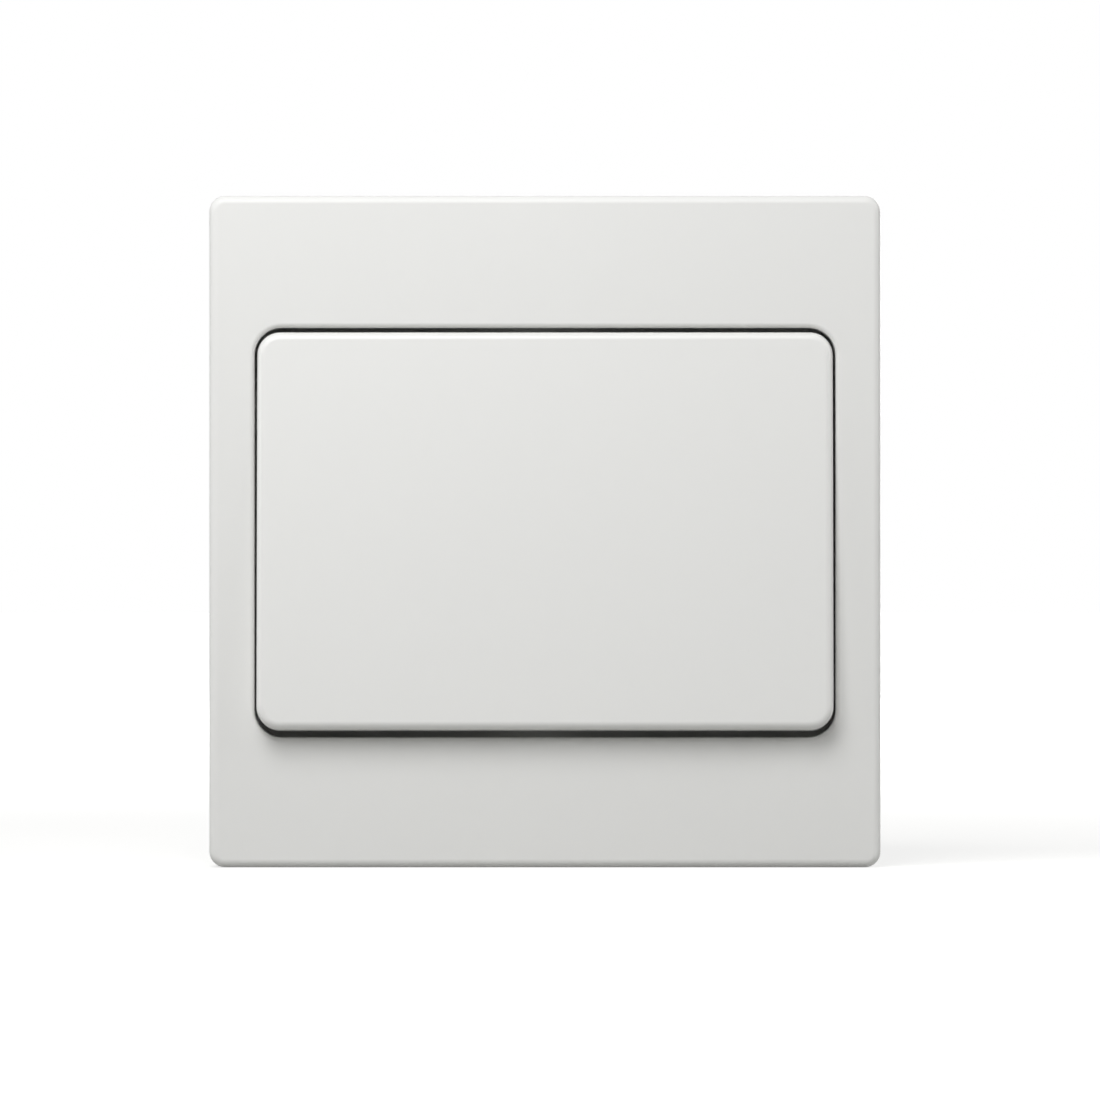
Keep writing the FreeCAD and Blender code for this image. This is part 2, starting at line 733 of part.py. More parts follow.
def make_mechanism_base():
    """Moulded housing with its flange, lid rebate, contact chamber and terminal pockets."""
    body = new_body("mechanism_base")
    outer = Outline(body, "outline", level="0 - base_depth")
    outer.rounded("base_width", "base_height", "base_corner")
    block = pad(body, "block", outer, "base_depth + flange_level")
    edge_dressing(body, "Chamfer", "rear_edge", block, "base_rear_chamfer", flat_at(value("0 - base_depth")))
    flange = Outline(body, "flange_outline", level="frame_web")
    flange.rounded("flange_width", "flange_height", "base_corner + base_flange_reach")
    pad(body, "flange", flange, "base_flange_thickness")
    rebate = Outline(body, "rebate_outline", level="flange_level")
    rebate.rounded("rebate_width", "rebate_height", "base_corner - base_rim_wall")
    cut(body, "rebate", rebate, "lid_wall")

    pockets = Outline(body, "pocket_outline", level="lid_seat")
    pockets.rectangle(
        "0 - chamber_half_width", "chamber_half_width", "0 - chamber_half_height", "chamber_half_height"
    )
    side_start = "(chamber_half_width + base_inner_wall)"
    for side in ("", "0 - "):
        pockets.rectangle(
            "0 - (terminal_width/2 + terminal_clearance)",
            "terminal_width/2 + terminal_clearance",
            f"{side}(chamber_half_height + divider_wall)",
            f"{side}(base_inside_height/2)",
        )
        for across in ("", "0 - "):
            pockets.rectangle(
                f"{across}{side_start}",
                f"{across}(base_inside_width/2)",
                f"{side}(base_inner_wall/2)",
                f"{side}(base_inside_height/2)",
            )
    cut(body, "pockets", pockets, "lid_seat - base_floor")

    pedestals = Outline(body, "pedestal_outline", level="base_floor")
    for middle in ("0", "closed_place"):
        pedestals.rectangle(
            "0 - (chamber_half_width + base_inner_wall/2)",
            "chamber_half_width + base_inner_wall/2",
            f"{middle} - strip_end_past_tip",
            f"{middle} + strip_end_past_tip",
        )
    pad(body, "pedestals", pedestals, "strip_back - base_floor")
    head_room = Outline(body, "head_room_outline", level="strip_back")
    head_room.circle("rivet_head_radius + strip_clearance", y="closed_place")
    cut(body, "head_room", head_room, "rivet_head_height + strip_clearance")

    strip_slots = Outline(body, "strip_slot_outline", level="lid_seat")
    screw_ways = Outline(body, "screw_way_outline", level="base_floor")
    for side in ("", "0 - "):
        strip_slots.rectangle(
            "0 - (strip_width/2 + strip_clearance)",
            "strip_width/2 + strip_clearance",
            f"{side}(chamber_half_height - divider_wall)",
            f"{side}(terminal_inner + terminal_clearance)",
        )
        screw_ways.circle("screw_access_radius", y=f"{side}terminal_place")
    cut(body, "strip_slots", strip_slots, "lid_seat - strip_back")
    cut(body, "screw_ways", screw_ways, "base_wall")

    entry = Outline(body, "entry_outline", plane="XZ_Plane", level="0 - base_height/2")
    entry.circle("wire_entry_radius", y="terminal_bore_level")
    upper_entry = cut(body, "upper_entry", entry, "base_wall", forward=True)
    entries = mirrored(body, "entries", [upper_entry], "XZ_Plane")

    def mouth(edge):
        box = edge.BoundBox
        on_face = abs(abs(box.YMin) - value("base_height/2")) < FINE and box.YLength < FINE
        return on_face and abs(edge.Length - 2 * math.pi * value("wire_entry_radius")) < FINE

    edge_dressing(body, "Chamfer", "entry_edges", entries, "wire_entry_chamfer", mouth)

    grooves = Outline(body, "groove_outline", level="lid_barb_level + lid_barb_height + lid_clearance")
    for across in ("lid_barb_spacing/2", "0 - lid_barb_spacing/2"):
        for side in ("", "0 - "):
            grooves.rectangle(
                f"{across} - lid_barb_width/2 - lid_clearance",
                f"{across} + lid_barb_width/2 + lid_clearance",
                f"{side}(rebate_height/2 - lid_clearance)",
                f"{side}(rebate_height/2 + lid_barb_reach)",
            )
    cut(body, "grooves", grooves, "lid_barb_height + 2*lid_clearance")
    return body


def make_mechanism_lid():
    """Lid with the stem slot, two snap bearings, the return spring's cup and barbs at its ends."""
    body = new_body("mechanism_lid")
    plate = Outline(body, "outline", level="lid_seat")
    plate.rounded(
        "rebate_width - 2*lid_clearance",
        "rebate_height - 2*lid_clearance",
        "base_corner - base_rim_wall",
    )
    pad(body, "plate", plate, "lid_wall")
    barbs = Outline(body, "barb_outline", level="lid_barb_level")
    for across in ("lid_barb_spacing/2", "0 - lid_barb_spacing/2"):
        for side in ("", "0 - "):
            barbs.rectangle(
                f"{across} - lid_barb_width/2",
                f"{across} + lid_barb_width/2",
                f"{side}(rebate_height/2 - lid_wall)",
                f"{side}(rebate_height/2 - lid_clearance + lid_barb_reach)",
            )
    pad(body, "barbs", barbs, "lid_barb_height")

    cup = Outline(body, "cup_outline", level="lid_seat")
    cup.circle("return_cup_radius + return_cup_wall", y="0 - return_spring_place")
    pad(body, "cup", cup, "lid_seat - return_cup_bottom", back=True)
    well = Outline(body, "well_outline", level="flange_level")
    well.circle("return_cup_radius", y="0 - return_spring_place")
    cut(body, "well", well, "flange_level - return_cup_level")
    way = Outline(body, "stem_way_outline", level="flange_level")
    way_half = "(stem_radius + stem_clearance)"
    way.rectangle(
        f"0 - {way_half}", way_half, f"0 - ({way_half} + stem_swing)", f"{way_half} + stem_swing"
    )
    cut(body, "stem_way", way, "lid_wall")

    ear = Outline(body, "ear_outline", plane="YZ_Plane", level="ear_place")
    ear.path(
        ("0 - ear_radius", "flange_level - lid_wall/2"),
        ("ear_radius", "flange_level - lid_wall/2"),
        ("ear_radius", "pivot_level"),
        ("0", "pivot_level + ear_radius", "0", "pivot_level", "ear_radius"),
        ("0 - ear_radius", "pivot_level", "0", "pivot_level", "ear_radius"),
    )
    ear_pad = pad(body, "ear", ear, "ear_wall")
    ears = mirrored(body, "ears", [ear_pad], "YZ_Plane")
    bore = Outline(body, "bore_outline", plane="YZ_Plane", level="ear_place + ear_wall")
    bore.circle("trunnion_radius + trunnion_clearance", y="pivot_level")
    cut(body, "bores", bore, "2*(ear_place + ear_wall)")
    mouth = Outline(body, "mouth_outline", level="pivot_level + ear_radius")
    for across in ("", "0 - "):
        mouth.rectangle(
            f"{across}(ear_place - ear_gap/2)",
            f"{across}(ear_place + ear_wall + ear_gap/2)",
            "0 - ear_mouth_width/2",
            "ear_mouth_width/2",
        )
    cut(body, "mouths", mouth, "ear_radius")
    return body


def make_dolly():
    """Cradle under the button with trunnions, the plunger's stem and the spring's spigot."""
    body = new_body("dolly", out="pivot_level", turn="0 - rest_tilt")
    plate = Outline(body, "outline", level="dolly_floor")
    plate.rounded("dolly_width", "dolly_height", "dolly_corner")
    pad(body, "plate", plate, "dolly_wall")
    notches = Outline(body, "notch_outline", level="button_ceiling")
    for across in ("clip_spacing/2", "0 - clip_spacing/2"):
        for side in ("", "0 - "):
            notches.rectangle(
                f"{across} - clip_width/2 - clip_clearance",
                f"{across} + clip_width/2 + clip_clearance",
                f"{side}clip_seat",
                f"{side}(dolly_height/2 + clip_notch_depth)",
            )
    cut(body, "notches", notches, "dolly_wall")

    cheek = Outline(body, "cheek_outline", plane="YZ_Plane", level="dolly_width/2 - cheek_wall")
    cheek.path(
        ("cheek_radius", "dolly_floor + dolly_wall/2"),
        ("0 - cheek_radius", "dolly_floor + dolly_wall/2"),
        ("0 - cheek_radius", "0"),
        ("0", "0 - cheek_radius", "0", "0", "cheek_radius"),
        ("cheek_radius", "0", "0", "0", "cheek_radius"),
    )
    cheek_pad = pad(body, "cheek", cheek, "cheek_wall")
    pin = Outline(body, "trunnion_outline", plane="YZ_Plane", level="dolly_width/2 - cheek_wall")
    pin.circle("trunnion_radius")
    pin_pad = pad(body, "trunnion", pin, "cheek_wall + ear_gap + ear_wall - trunnion_clearance")
    mirrored(body, "other_side", [cheek_pad, pin_pad], "YZ_Plane")

    webs = Outline(body, "web_outline", level="dolly_floor")
    for across in ("", "0 - "):
        webs.rectangle(
            f"{across}(stem_radius/2)",
            f"{across}(dolly_width/2 - cheek_wall/2)",
            "0 - stem_web_wall/2",
            "stem_web_wall/2",
        )
    pad(body, "webs", webs, "dolly_floor + cheek_radius", back=True)
    stem = Outline(body, "stem_outline", level="dolly_floor").circle("stem_radius")
    pad(body, "stem", stem, "dolly_floor - stem_end", back=True)
    bore = Outline(body, "bore_outline", level="stem_end")
    bore.circle("plunger_radius + plunger_clearance")
    cut(body, "bore", bore, "stem_length - stem_roof", forward=True)
    spigot = Outline(body, "spigot_outline", level="dolly_floor")
    spigot.circle("return_spigot_radius", y="0 - return_spring_place")
    pad(body, "spigot", spigot, "return_spigot_length", back=True)
    return body


def make_plunger():
    """Spring-loaded plunger with a round nose, drawn about the button's pivot."""
    body = new_body("plunger", out="pivot_level", turn="0 - rest_tilt")
    nose = "0 - plunger_reach"
    back = "plunger_length - plunger_reach"
    profile = Outline(body, "profile", plane="XZ_Plane")
    profile.path(
        ("0", f"{nose} - plunger_radius"),
        ("plunger_radius", nose, "0", nose, "plunger_radius"),
        ("plunger_radius", back),
        ("plunger_spring_bore", back),
        ("plunger_spring_bore", f"{back} - plunger_spring_depth"),
        ("0", f"{back} - plunger_spring_depth"),
    )
    turned(body, "turning", profile)
    return body


def make_coil(name, foot, height, radius, wire, turns, **place):
    """A coil spring as one helix of round wire from its foot up along the body's Z."""
    body = new_body(name, **place)
    section = Outline(body, "wire_outline", plane="XZ_Plane")
    section.circle(f"{wire}/2", x=f"{radius} - {wire}/2", y=f"({foot}) + {wire}/2")
    coil = feature(body, "AdditiveHelix", "coil", section)
    coil.ReferenceAxis = (section.sketch, ["V_Axis"])
    coil.Mode = "height-turns-angle"
    coil.setExpression("Height", formula(f"({height}) - {wire}"))
    coil.setExpression("Turns", formula(turns))
    return body


def make_return_spring():
    """Spring between the lid's cup and the dolly, which brings the button back."""
    return make_coil(
        "return_spring",
        foot="return_cup_level + spring_seat_gap",
        height="spring_top - return_cup_level - 2*spring_seat_gap",
        radius="return_spring_radius",
        wire="return_spring_wire",
        turns="return_spring_turns",
        up="0 - return_spring_place",
    )


def make_plunger_spring():
    """Spring between the stem's roof and the plunger's bore."""
    foot = "plunger_length - plunger_reach - plunger_spring_depth"
    return make_coil(
        "plunger_spring",
        foot=f"{foot} + spring_seat_gap",
        height=f"0 - stem_roof - ({foot}) - 2*spring_seat_gap",
        radius="plunger_spring_radius",
        wire="plunger_spring_wire",
        turns="plunger_spring_turns",
        out="pivot_level",
        turn="0 - rest_tilt",
    )


def make_contact_rocker():
    """Copper see-saw with a groove over the fulcrum and two upturned guides for the plunger."""
    body = new_body("contact_rocker", out="fulcrum_level", turn="contact_tilt")
    blade = Outline(body, "outline", level="seesaw_lift")
    blade.rounded("seesaw_width", "seesaw_length", "seesaw_thickness")
    pad(body, "blade", blade, "seesaw_thickness")
    guides = Outline(body, "guide_outline", level="seesaw_lift")
    for across in ("", "0 - "):
        guides.rectangle(
            f"{across}(seesaw_width/2 - seesaw_guide_wall)",
            f"{across}(seesaw_width/2)",
            "0 - seesaw_guide_length/2",
            "seesaw_guide_length/2",
        )
    pad(body, "guides", guides, "seesaw_thickness + seesaw_guide_height")
    groove = Outline(body, "groove_outline", plane="YZ_Plane", level="seesaw_width")
    groove.circle("fulcrum_radius + fulcrum_clearance")
    cut(body, "groove", groove, "2*seesaw_width")
    hole = Outline(body, "rivet_outline", level="seesaw_front")
    hole.circle("rivet_radius + rivet_clearance", y="contact_place")
    cut(body, "rivet_hole", hole, "seesaw_thickness")
    return body


def rivet_profile(outline, face, grip_start, grip_end, head):
    """A contact rivet's half section: face stops, then the shank through the grip and its head."""
    outline.path(
        *face,
        ("rivet_radius", grip_start),
        ("rivet_radius", grip_end),
        ("rivet_head_radius", grip_end),
        ("rivet_head_radius", head),
        ("0", head),
    )


def make_moving_contact_tip():
    """Flat silver rivet in the see-saw's upper end."""
    body = new_body("moving_contact_tip", out="fulcrum_level", turn="contact_tilt")
    body.setExpression("Placement.Base.z", formula("contact_place*cos(contact_tilt)"))
    body.setExpression("Placement.Base.y", formula("0 - fulcrum_level - contact_place*sin(contact_tilt)"))
    profile = Outline(body, "profile", plane="XZ_Plane")
    rivet_profile(
        profile,
        face=(
            ("0", "0 - moving_tip_face"),
            ("moving_tip_radius", "0 - moving_tip_face"),
            ("moving_tip_radius", "seesaw_lift"),
        ),
        grip_start="seesaw_lift",
        grip_end="seesaw_front",
        head="seesaw_front + rivet_head_height",
    )
    turned(body, "turning", profile)
    return body


def make_fixed_contact_tip():
    """Domed silver rivet in the fixed contact strip."""
    body = new_body("fixed_contact_tip", up="closed_place")
    profile = Outline(body, "profile", plane="XZ_Plane")
    apex = "strip_front + tip_height"
    rim = "dome_centre + sqrt(fixed_tip_dome*fixed_tip_dome - fixed_tip_radius*fixed_tip_radius)"
    rivet_profile(
        profile,
        face=(
            ("0", apex),
            ("fixed_tip_radius", rim, "0", "dome_centre", "fixed_tip_dome"),
            ("fixed_tip_radius", "strip_front"),
        ),
        grip_start="strip_front",
        grip_end="strip_back",
        head="strip_back - rivet_head_height",
    )
    turned(body, "turning", profile)
    return body


def strip_blank(body, near, far, side):
    """A brass strip between two distances up or down, with the hole for its terminal's stud."""
    blank = Outline(body, "outline", level="strip_back")
    blank.rectangle("0 - strip_width/2", "strip_width/2", f"{side}({near})", f"{side}({far})")
    pad(body, "blank", blank, "strip_thickness")
    hole = Outline(body, "stud_hole_outline", level="strip_front")
    hole.circle("terminal_stud_radius + rivet_clearance", y=f"{side}terminal_place")
    cut(body, "stud_hole", hole, "strip_thickness")


def make_fixed_contact():
    """Brass strip from the fixed contact's rivet to the upper terminal."""
    body = new_body("fixed_contact")
    strip_blank(body, "closed_place - strip_end_past_tip", "strip_end", "")
    hole = Outline(body, "rivet_hole_outline", level="strip_front")
    hole.circle("rivet_radius + rivet_clearance", y="closed_place")
    cut(body, "rivet_hole", hole, "strip_thickness")
    return body


def make_fulcrum_strip():
    """Brass strip from the lower terminal to the fulcrum, with a dimple where the see-saw rests."""
    body = new_body("fulcrum_strip")
    strip_blank(body, "0 - strip_end_past_tip", "strip_end", "0 - ")
    edge = Outline(body, "fulcrum_outline", plane="YZ_Plane", level="0 - strip_width/2")
    edge.path(
        ("0 - fulcrum_radius", "strip_front - strip_thickness/2"),
        ("fulcrum_radius", "strip_front - strip_thickness/2"),
        ("fulcrum_radius", "fulcrum_level"),
        ("0", "fulcrum_level + fulcrum_radius", "0", "fulcrum_level", "fulcrum_radius"),
        ("0 - fulcrum_radius", "fulcrum_level", "0", "fulcrum_level", "fulcrum_radius"),
    )
    pad(body, "fulcrum", edge, "strip_width")
    dimple = Outline(body, "dimple_outline", level="strip_front")
    dimple.circle("rest_dimple_radius", y="0 - rest_dimple_place")
    rest = pad(body, "rest_dimple", dimple, "rest_level - strip_front")
    edge_dressing(body, "Fillet", "dimple_edge", rest, "rest_dimple_round", flat_at(value("rest_level")))
    return body


def make_terminal(name, side):
    """Brass terminal block with its wire bore, its screw's hole and the stud that holds the strip."""
    body = new_body(name)
    block_outline = Outline(body, "outline", level="base_floor")
    block_outline.rectangle(
        "0 - terminal_width/2",
        "terminal_width/2",
        f"{side}terminal_inner",
        f"{side}(terminal_inner + terminal_height)",
    )
    block = pad(body, "block", block_outline, "strip_back - base_floor")

    def upright(edge):
        box = edge.BoundBox
        return box.ZLength > box.XLength + box.YLength

    edge_dressing(body, "Chamfer", "edges", block, "terminal_edge_chamfer", upright)
    stud = Outline(body, "stud_outline", level="strip_back")
    stud.circle("terminal_stud_radius", y=f"{side}terminal_place")
    pad(body, "stud", stud, "strip_thickness + terminal_stud_proud")
    bore = Outline(body, "bore_outline", plane="XZ_Plane")
    bore.circle("terminal_bore_radius", y="terminal_bore_level")
    cut(body, "wire_bore", bore, "terminal_inner + terminal_height", forward=bool(side))
    thread = Outline(body, "thread_outline", level="terminal_bore_level")
    thread.circle("terminal_screw_radius + terminal_screw_clearance", y=f"{side}terminal_place")
    cut(body, "thread_hole", thread, "terminal_bore_level - base_floor")
    return body


def make_terminal_screw(name, side):
    """Slotted grub screw, backed out so that its terminal's bore is open."""
    body = new_body(name, up=f"{side}terminal_place")
    rod = Outline(body, "outline", level="0 - base_depth").circle("terminal_screw_radius")
    shank = pad(body, "shank", rod, "terminal_screw_front + base_depth")

    def ends(edge):
        return flat_at(value("0 - base_depth"))(edge) or flat_at(value("terminal_screw_front"))(edge)

    edge_dressing(body, "Chamfer", "ends", shank, "terminal_screw_chamfer", ends)
    slot = Outline(body, "slot_outline", level="0 - base_depth")
    slot.rectangle(
        "0 - 2*terminal_screw_radius",
        "2*terminal_screw_radius",
        "0 - terminal_screw_slot_width/2",
        "terminal_screw_slot_width/2",
    )
    cut(body, "driver_slot", slot, "terminal_screw_slot_depth", forward=True)
    return body


def check_document():
    """Stops on a failed object or a cut that took nothing away."""
    for part in doc.Objects:
        if "Invalid" in part.State or "Error" in part.State:
            raise RuntimeError(f"{part.Name} failed: {part.State}")
    for part in doc.findObjects("PartDesign::Pocket"):
        if part.Shape.Volume >= part.BaseFeature.Shape.Volume:
            raise RuntimeError(f"{part.Name} cuts nothing")


def main():
    bodies = [
        make_cover_plate(),
        make_button(),
        make_mounting_frame(),
        make_fixing_screw("fixing_screw_left", "0 - fixing_spacing/2"),
        make_fixing_screw("fixing_screw_right", "fixing_spacing/2"),
        make_mechanism_base(),
        make_mechanism_lid(),
        make_dolly(),
        make_plunger(),
        make_plunger_spring(),
        make_return_spring(),
        make_contact_rocker(),
        make_moving_contact_tip(),
        make_fixed_contact_tip(),
        make_fixed_contact(),
        make_fulcrum_strip(),
        make_terminal("terminal_upper", ""),
        make_terminal("terminal_lower", "0 - "),
        make_terminal_screw("terminal_screw_upper", ""),
        make_terminal_screw("terminal_screw_lower", "0 - "),
    ]
    doc.recompute()
    check_document()
    os.makedirs("parts", exist_ok=True)
    for body in bodies:
        if body.Shape.isNull() or not body.Shape.isValid():
            raise RuntimeError(f"{body.Label} has no valid shape")
    for body in bodies:
        body.Shape.exportStep(f"parts/{body.Label}.step")
        print(f"{body.Label}: {len(body.Shape.Solids)} solid, {body.Shape.Volume:.1f} mm3")


main()
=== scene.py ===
"""Push button light switch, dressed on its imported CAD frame.

Objects are in metres in the CAD's own frame: +X to the right, +Z up, the front towards -Y. Sizes in
the classes are millimetres, as on a drawing, and "out" is a height out of the wall, along -Y.
"""

import logging
import math
from collections.abc import Callable
from dataclasses import dataclass, replace
from enum import Enum
from functools import cache

import bmesh
import bpy
from mathutils import Matrix, Vector


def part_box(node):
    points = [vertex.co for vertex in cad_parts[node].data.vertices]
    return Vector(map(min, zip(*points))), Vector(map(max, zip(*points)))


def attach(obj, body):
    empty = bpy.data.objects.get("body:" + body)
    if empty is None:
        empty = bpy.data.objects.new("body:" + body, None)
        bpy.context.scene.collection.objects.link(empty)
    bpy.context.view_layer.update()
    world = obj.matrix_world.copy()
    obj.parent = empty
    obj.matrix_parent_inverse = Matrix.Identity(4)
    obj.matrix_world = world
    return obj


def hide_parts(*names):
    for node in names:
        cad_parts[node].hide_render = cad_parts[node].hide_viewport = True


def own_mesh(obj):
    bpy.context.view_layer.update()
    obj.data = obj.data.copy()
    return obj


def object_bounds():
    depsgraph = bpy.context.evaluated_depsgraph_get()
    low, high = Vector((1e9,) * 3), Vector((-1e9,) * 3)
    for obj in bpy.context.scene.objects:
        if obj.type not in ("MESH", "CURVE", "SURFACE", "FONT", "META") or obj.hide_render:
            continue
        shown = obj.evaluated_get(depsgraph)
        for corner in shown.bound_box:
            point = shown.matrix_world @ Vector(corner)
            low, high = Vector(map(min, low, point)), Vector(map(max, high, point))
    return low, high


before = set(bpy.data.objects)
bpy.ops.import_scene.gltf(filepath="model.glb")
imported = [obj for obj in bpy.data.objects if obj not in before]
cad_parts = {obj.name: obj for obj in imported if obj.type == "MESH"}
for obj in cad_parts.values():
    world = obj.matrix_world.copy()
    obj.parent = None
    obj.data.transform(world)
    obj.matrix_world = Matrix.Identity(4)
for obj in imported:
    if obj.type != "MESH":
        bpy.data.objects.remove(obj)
cad_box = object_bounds()

log = logging.getLogger("switch")

MM = 0.001
# The button's tilt at rest, and how far its pivot is out of the wall, as in the CAD
REST_TILT = math.radians(3.6)
PIVOT_OUT = 4.6
# Edges of a built mesh that turn by more than this stay sharp; points nearer than this are one, in mm
SHARP_FROM = math.radians(38)
WELD_WITHIN = 0.0005
# How far Blender's wave texture turns over one unit, in radians
WAVE_RATE = 20.0
WHITE = "#FFFFFF"


class Body(Enum):
    """The moving bodies of the frame."""

    SWITCH = "switch"
    ROCKER = "rocker"
    PLUNGER = "plunger"
    CONTACT = "contact"


class Joint(Enum):
    """The joints that a spring gives way to."""

    BUTTON = "button_press"
    PLUNGER = "plunger_slide"


class Drive(Enum):
    """The recesses for a screwdriver, by their number of arms."""

    SLOT = 2
    CROSS = 4


def linear(hex_colour: str) -> tuple[float, float, float, float]:
    """Turns an sRGB hex colour into the linear one that a shader takes.

    Args:
        hex_colour: The colour as "#RRGGBB".

    Returns:
        Linear red, green and blue with an alpha of one.
    """
    channels = [int(hex_colour[i : i + 2], 16) / 255 for i in (1, 3, 5)]
    red, green, blue = (c / 12.92 if c <= 0.04045 else ((c + 0.055) / 1.055) ** 2.4 for c in channels)
    return red, green, blue, 1.0


def add_node(
    tree: bpy.types.NodeTree, kind: str, settings: dict, links: dict | None = None
) -> bpy.types.Node:
    """Adds a node with its settings and links.

    Args:
        tree: The node tree that gets it.
        kind: The node's Blender type.
        settings: Values by property name, or by the name or number of an input.
        links: Output sockets by the name or number of the input that they feed.

    Returns:
        The new node.
    """
    node = tree.nodes.new(kind)
    for name, value in settings.items():
        if isinstance(name, str) and hasattr(node, name):
            setattr(node, name, value)
        else:
            node.inputs[name].default_value = value
    for name, source in (links or {}).items():
        tree.links.new(source, node.inputs[name])
    return node


@dataclass(frozen=True)
class Finish:
    """A material and how its surface was made; each kind of surface adds its own pattern."""

    name: str
    slot: str
    colour: str
    shade: str
    roughness: float
    roughness_spread: float = 0.05
    metallic: float = 0.0
    ior: float = 1.5
    centre: tuple[float, float, float] = (0.0, 0.0, 0.0)

    def make(self) -> bpy.types.Material:
        """Builds the material.

        Returns:
            The finished material.
        """
        material = bpy.data.materials.new(self.name)
        material.use_nodes = True
        tree = material.node_tree
        tree.nodes.clear()
        settings = {"Metallic": self.metallic, "Roughness": self.roughness}
        if not self.metallic:
            settings["IOR"] = self.ior
        shader = add_node(tree, "ShaderNodeBsdfPrincipled", settings)
        add_node(tree, "ShaderNodeOutputMaterial", {}, {"Surface": shader.outputs["BSDF"]})
        spot = add_node(tree, "ShaderNodeTexCoord", {}).outputs["Object"]
        self.pattern(tree, shader, spot)
        return material

    def pattern(self, tree: bpy.types.NodeTree, shader: bpy.types.Node, spot: bpy.types.NodeSocket) -> None:
        """Adds what the surface shows. Each kind of finish has its own."""
        raise NotImplementedError

    def noise(
        self,
        tree: bpy.types.NodeTree,
        spot: bpy.types.NodeSocket,
        size: tuple[float, float, float],
        detail: float = 3.0,
    ) -> bpy.types.NodeSocket:
        """Adds a noise whose blotches have a real size.

        Args:
            tree: The material's node tree.
            spot: The place in metres.
            size: The blotches' size along X, Y and Z in millimetres.
            detail: How many finer layers it has.

        Returns:
            The noise from 0 to 1.
        """
        scale = tuple(1 / (one * MM) for one in size)
        spread = add_node(tree, "ShaderNodeMapping", {"Scale": scale}, {"Vector": spot})
        settings = {"Scale": 1.0, "Detail": detail}
        return add_node(tree, "ShaderNodeTexNoise", settings, {"Vector": spread.outputs[0]}).outputs["Fac"]

    def vary(self, tree: bpy.types.NodeTree, shader: bpy.types.Node, by: bpy.types.NodeSocket) -> None:
        """Varies the colour and the roughness by a pattern.

        Args:
            tree: The material's node tree.
            shader: The shader that shows it.
            by: The pattern from 0 to 1.
        """
        ends = {"data_type": "RGBA", 6: linear(self.colour), 7: linear(self.shade)}
        mixed = add_node(tree, "ShaderNodeMix", ends, {0: by})
        tree.links.new(mixed.outputs[2], shader.inputs["Base Color"])
        low = self.roughness - self.roughness_spread
        span = {"To Min": low, "To Max": self.roughness + self.roughness_spread}
        rough = add_node(tree, "ShaderNodeMapRange", span, {"Value": by})
        tree.links.new(rough.outputs["Result"], shader.inputs["Roughness"])

    def relief(
        self, tree: bpy.types.NodeTree, shader: bpy.types.Node, height: bpy.types.NodeSocket, depth: float
    ) -> None:
        """Shows a pattern as a fine relief.

        Args:
            tree: The material's node tree.
            shader: The shader that shows it.
            height: The pattern from 0 to 1.
            depth: The relief's depth in millimetres.
        """
        bump = add_node(tree, "ShaderNodeBump", {"Distance": depth * MM}, {"Height": height})
        tree.links.new(bump.outputs["Normal"], shader.inputs["Normal"])


@dataclass(frozen=True)
class MouldedPlastic(Finish):
    """Plastic from a spark-eroded mould: an even satin grain over slow, faint flow marks."""

    grain: float = 0.3
    grain_depth: float = 0.003
    flow: float = 30.0

    def pattern(self, tree: bpy.types.NodeTree, shader: bpy.types.Node, spot: bpy.types.NodeSocket) -> None:
        """Adds the flow marks to colour and gloss, and the mould's grain as relief."""
        self.vary(tree, shader, self.noise(tree, spot, (self.flow,) * 3))
        self.relief(tree, shader, self.noise(tree, spot, (self.grain,) * 3), self.grain_depth)


@dataclass(frozen=True)
class FilledPlastic(Finish):
    """Glass-filled plastic: pale fibre specks lie in a dull, slightly uneven skin."""

    speck: float = 0.35
    speck_length: float = 1.05
    speck_depth: float = 0.006
    speck_detail: float = 6.0

    def pattern(self, tree: bpy.types.NodeTree, shader: bpy.types.Node, spot: bpy.types.NodeSocket) -> None:
        """Adds the fibres' specks to colour, gloss and relief.

        Args:
            tree: The material's node tree.
            shader: The shader that shows it.
            spot: The place in metres.
        """
        specks = self.noise(tree, spot, (self.speck, self.speck, self.speck_length), self.speck_detail)
        self.vary(tree, shader, specks)
        self.relief(tree, shader, specks, self.speck_depth)


@dataclass(frozen=True)
class RolledMetal(Finish):
    """Rolled or drawn metal: fine lines run one way, with slow patches of tarnish."""

    line: float = 0.12
    line_length: float = 6.0
    line_depth: float = 0.002
    along: int = 2
    tarnish: float = 4.0
    tarnish_detail: float = 5.0

    def pattern(self, tree: bpy.types.NodeTree, shader: bpy.types.Node, spot: bpy.types.NodeSocket) -> None:
        """Adds the tarnish to colour and gloss, and the rolling lines as relief.

        Args:
            tree: The material's node tree.
            shader: The shader that shows it.
            spot: The place in metres.
        """
        self.vary(tree, shader, self.noise(tree, spot, (self.tarnish,) * 3, self.tarnish_detail))
        size = [self.line] * 3
        size[self.along] = self.line_length
        self.relief(tree, shader, self.noise(tree, spot, tuple(size)), self.line_depth)


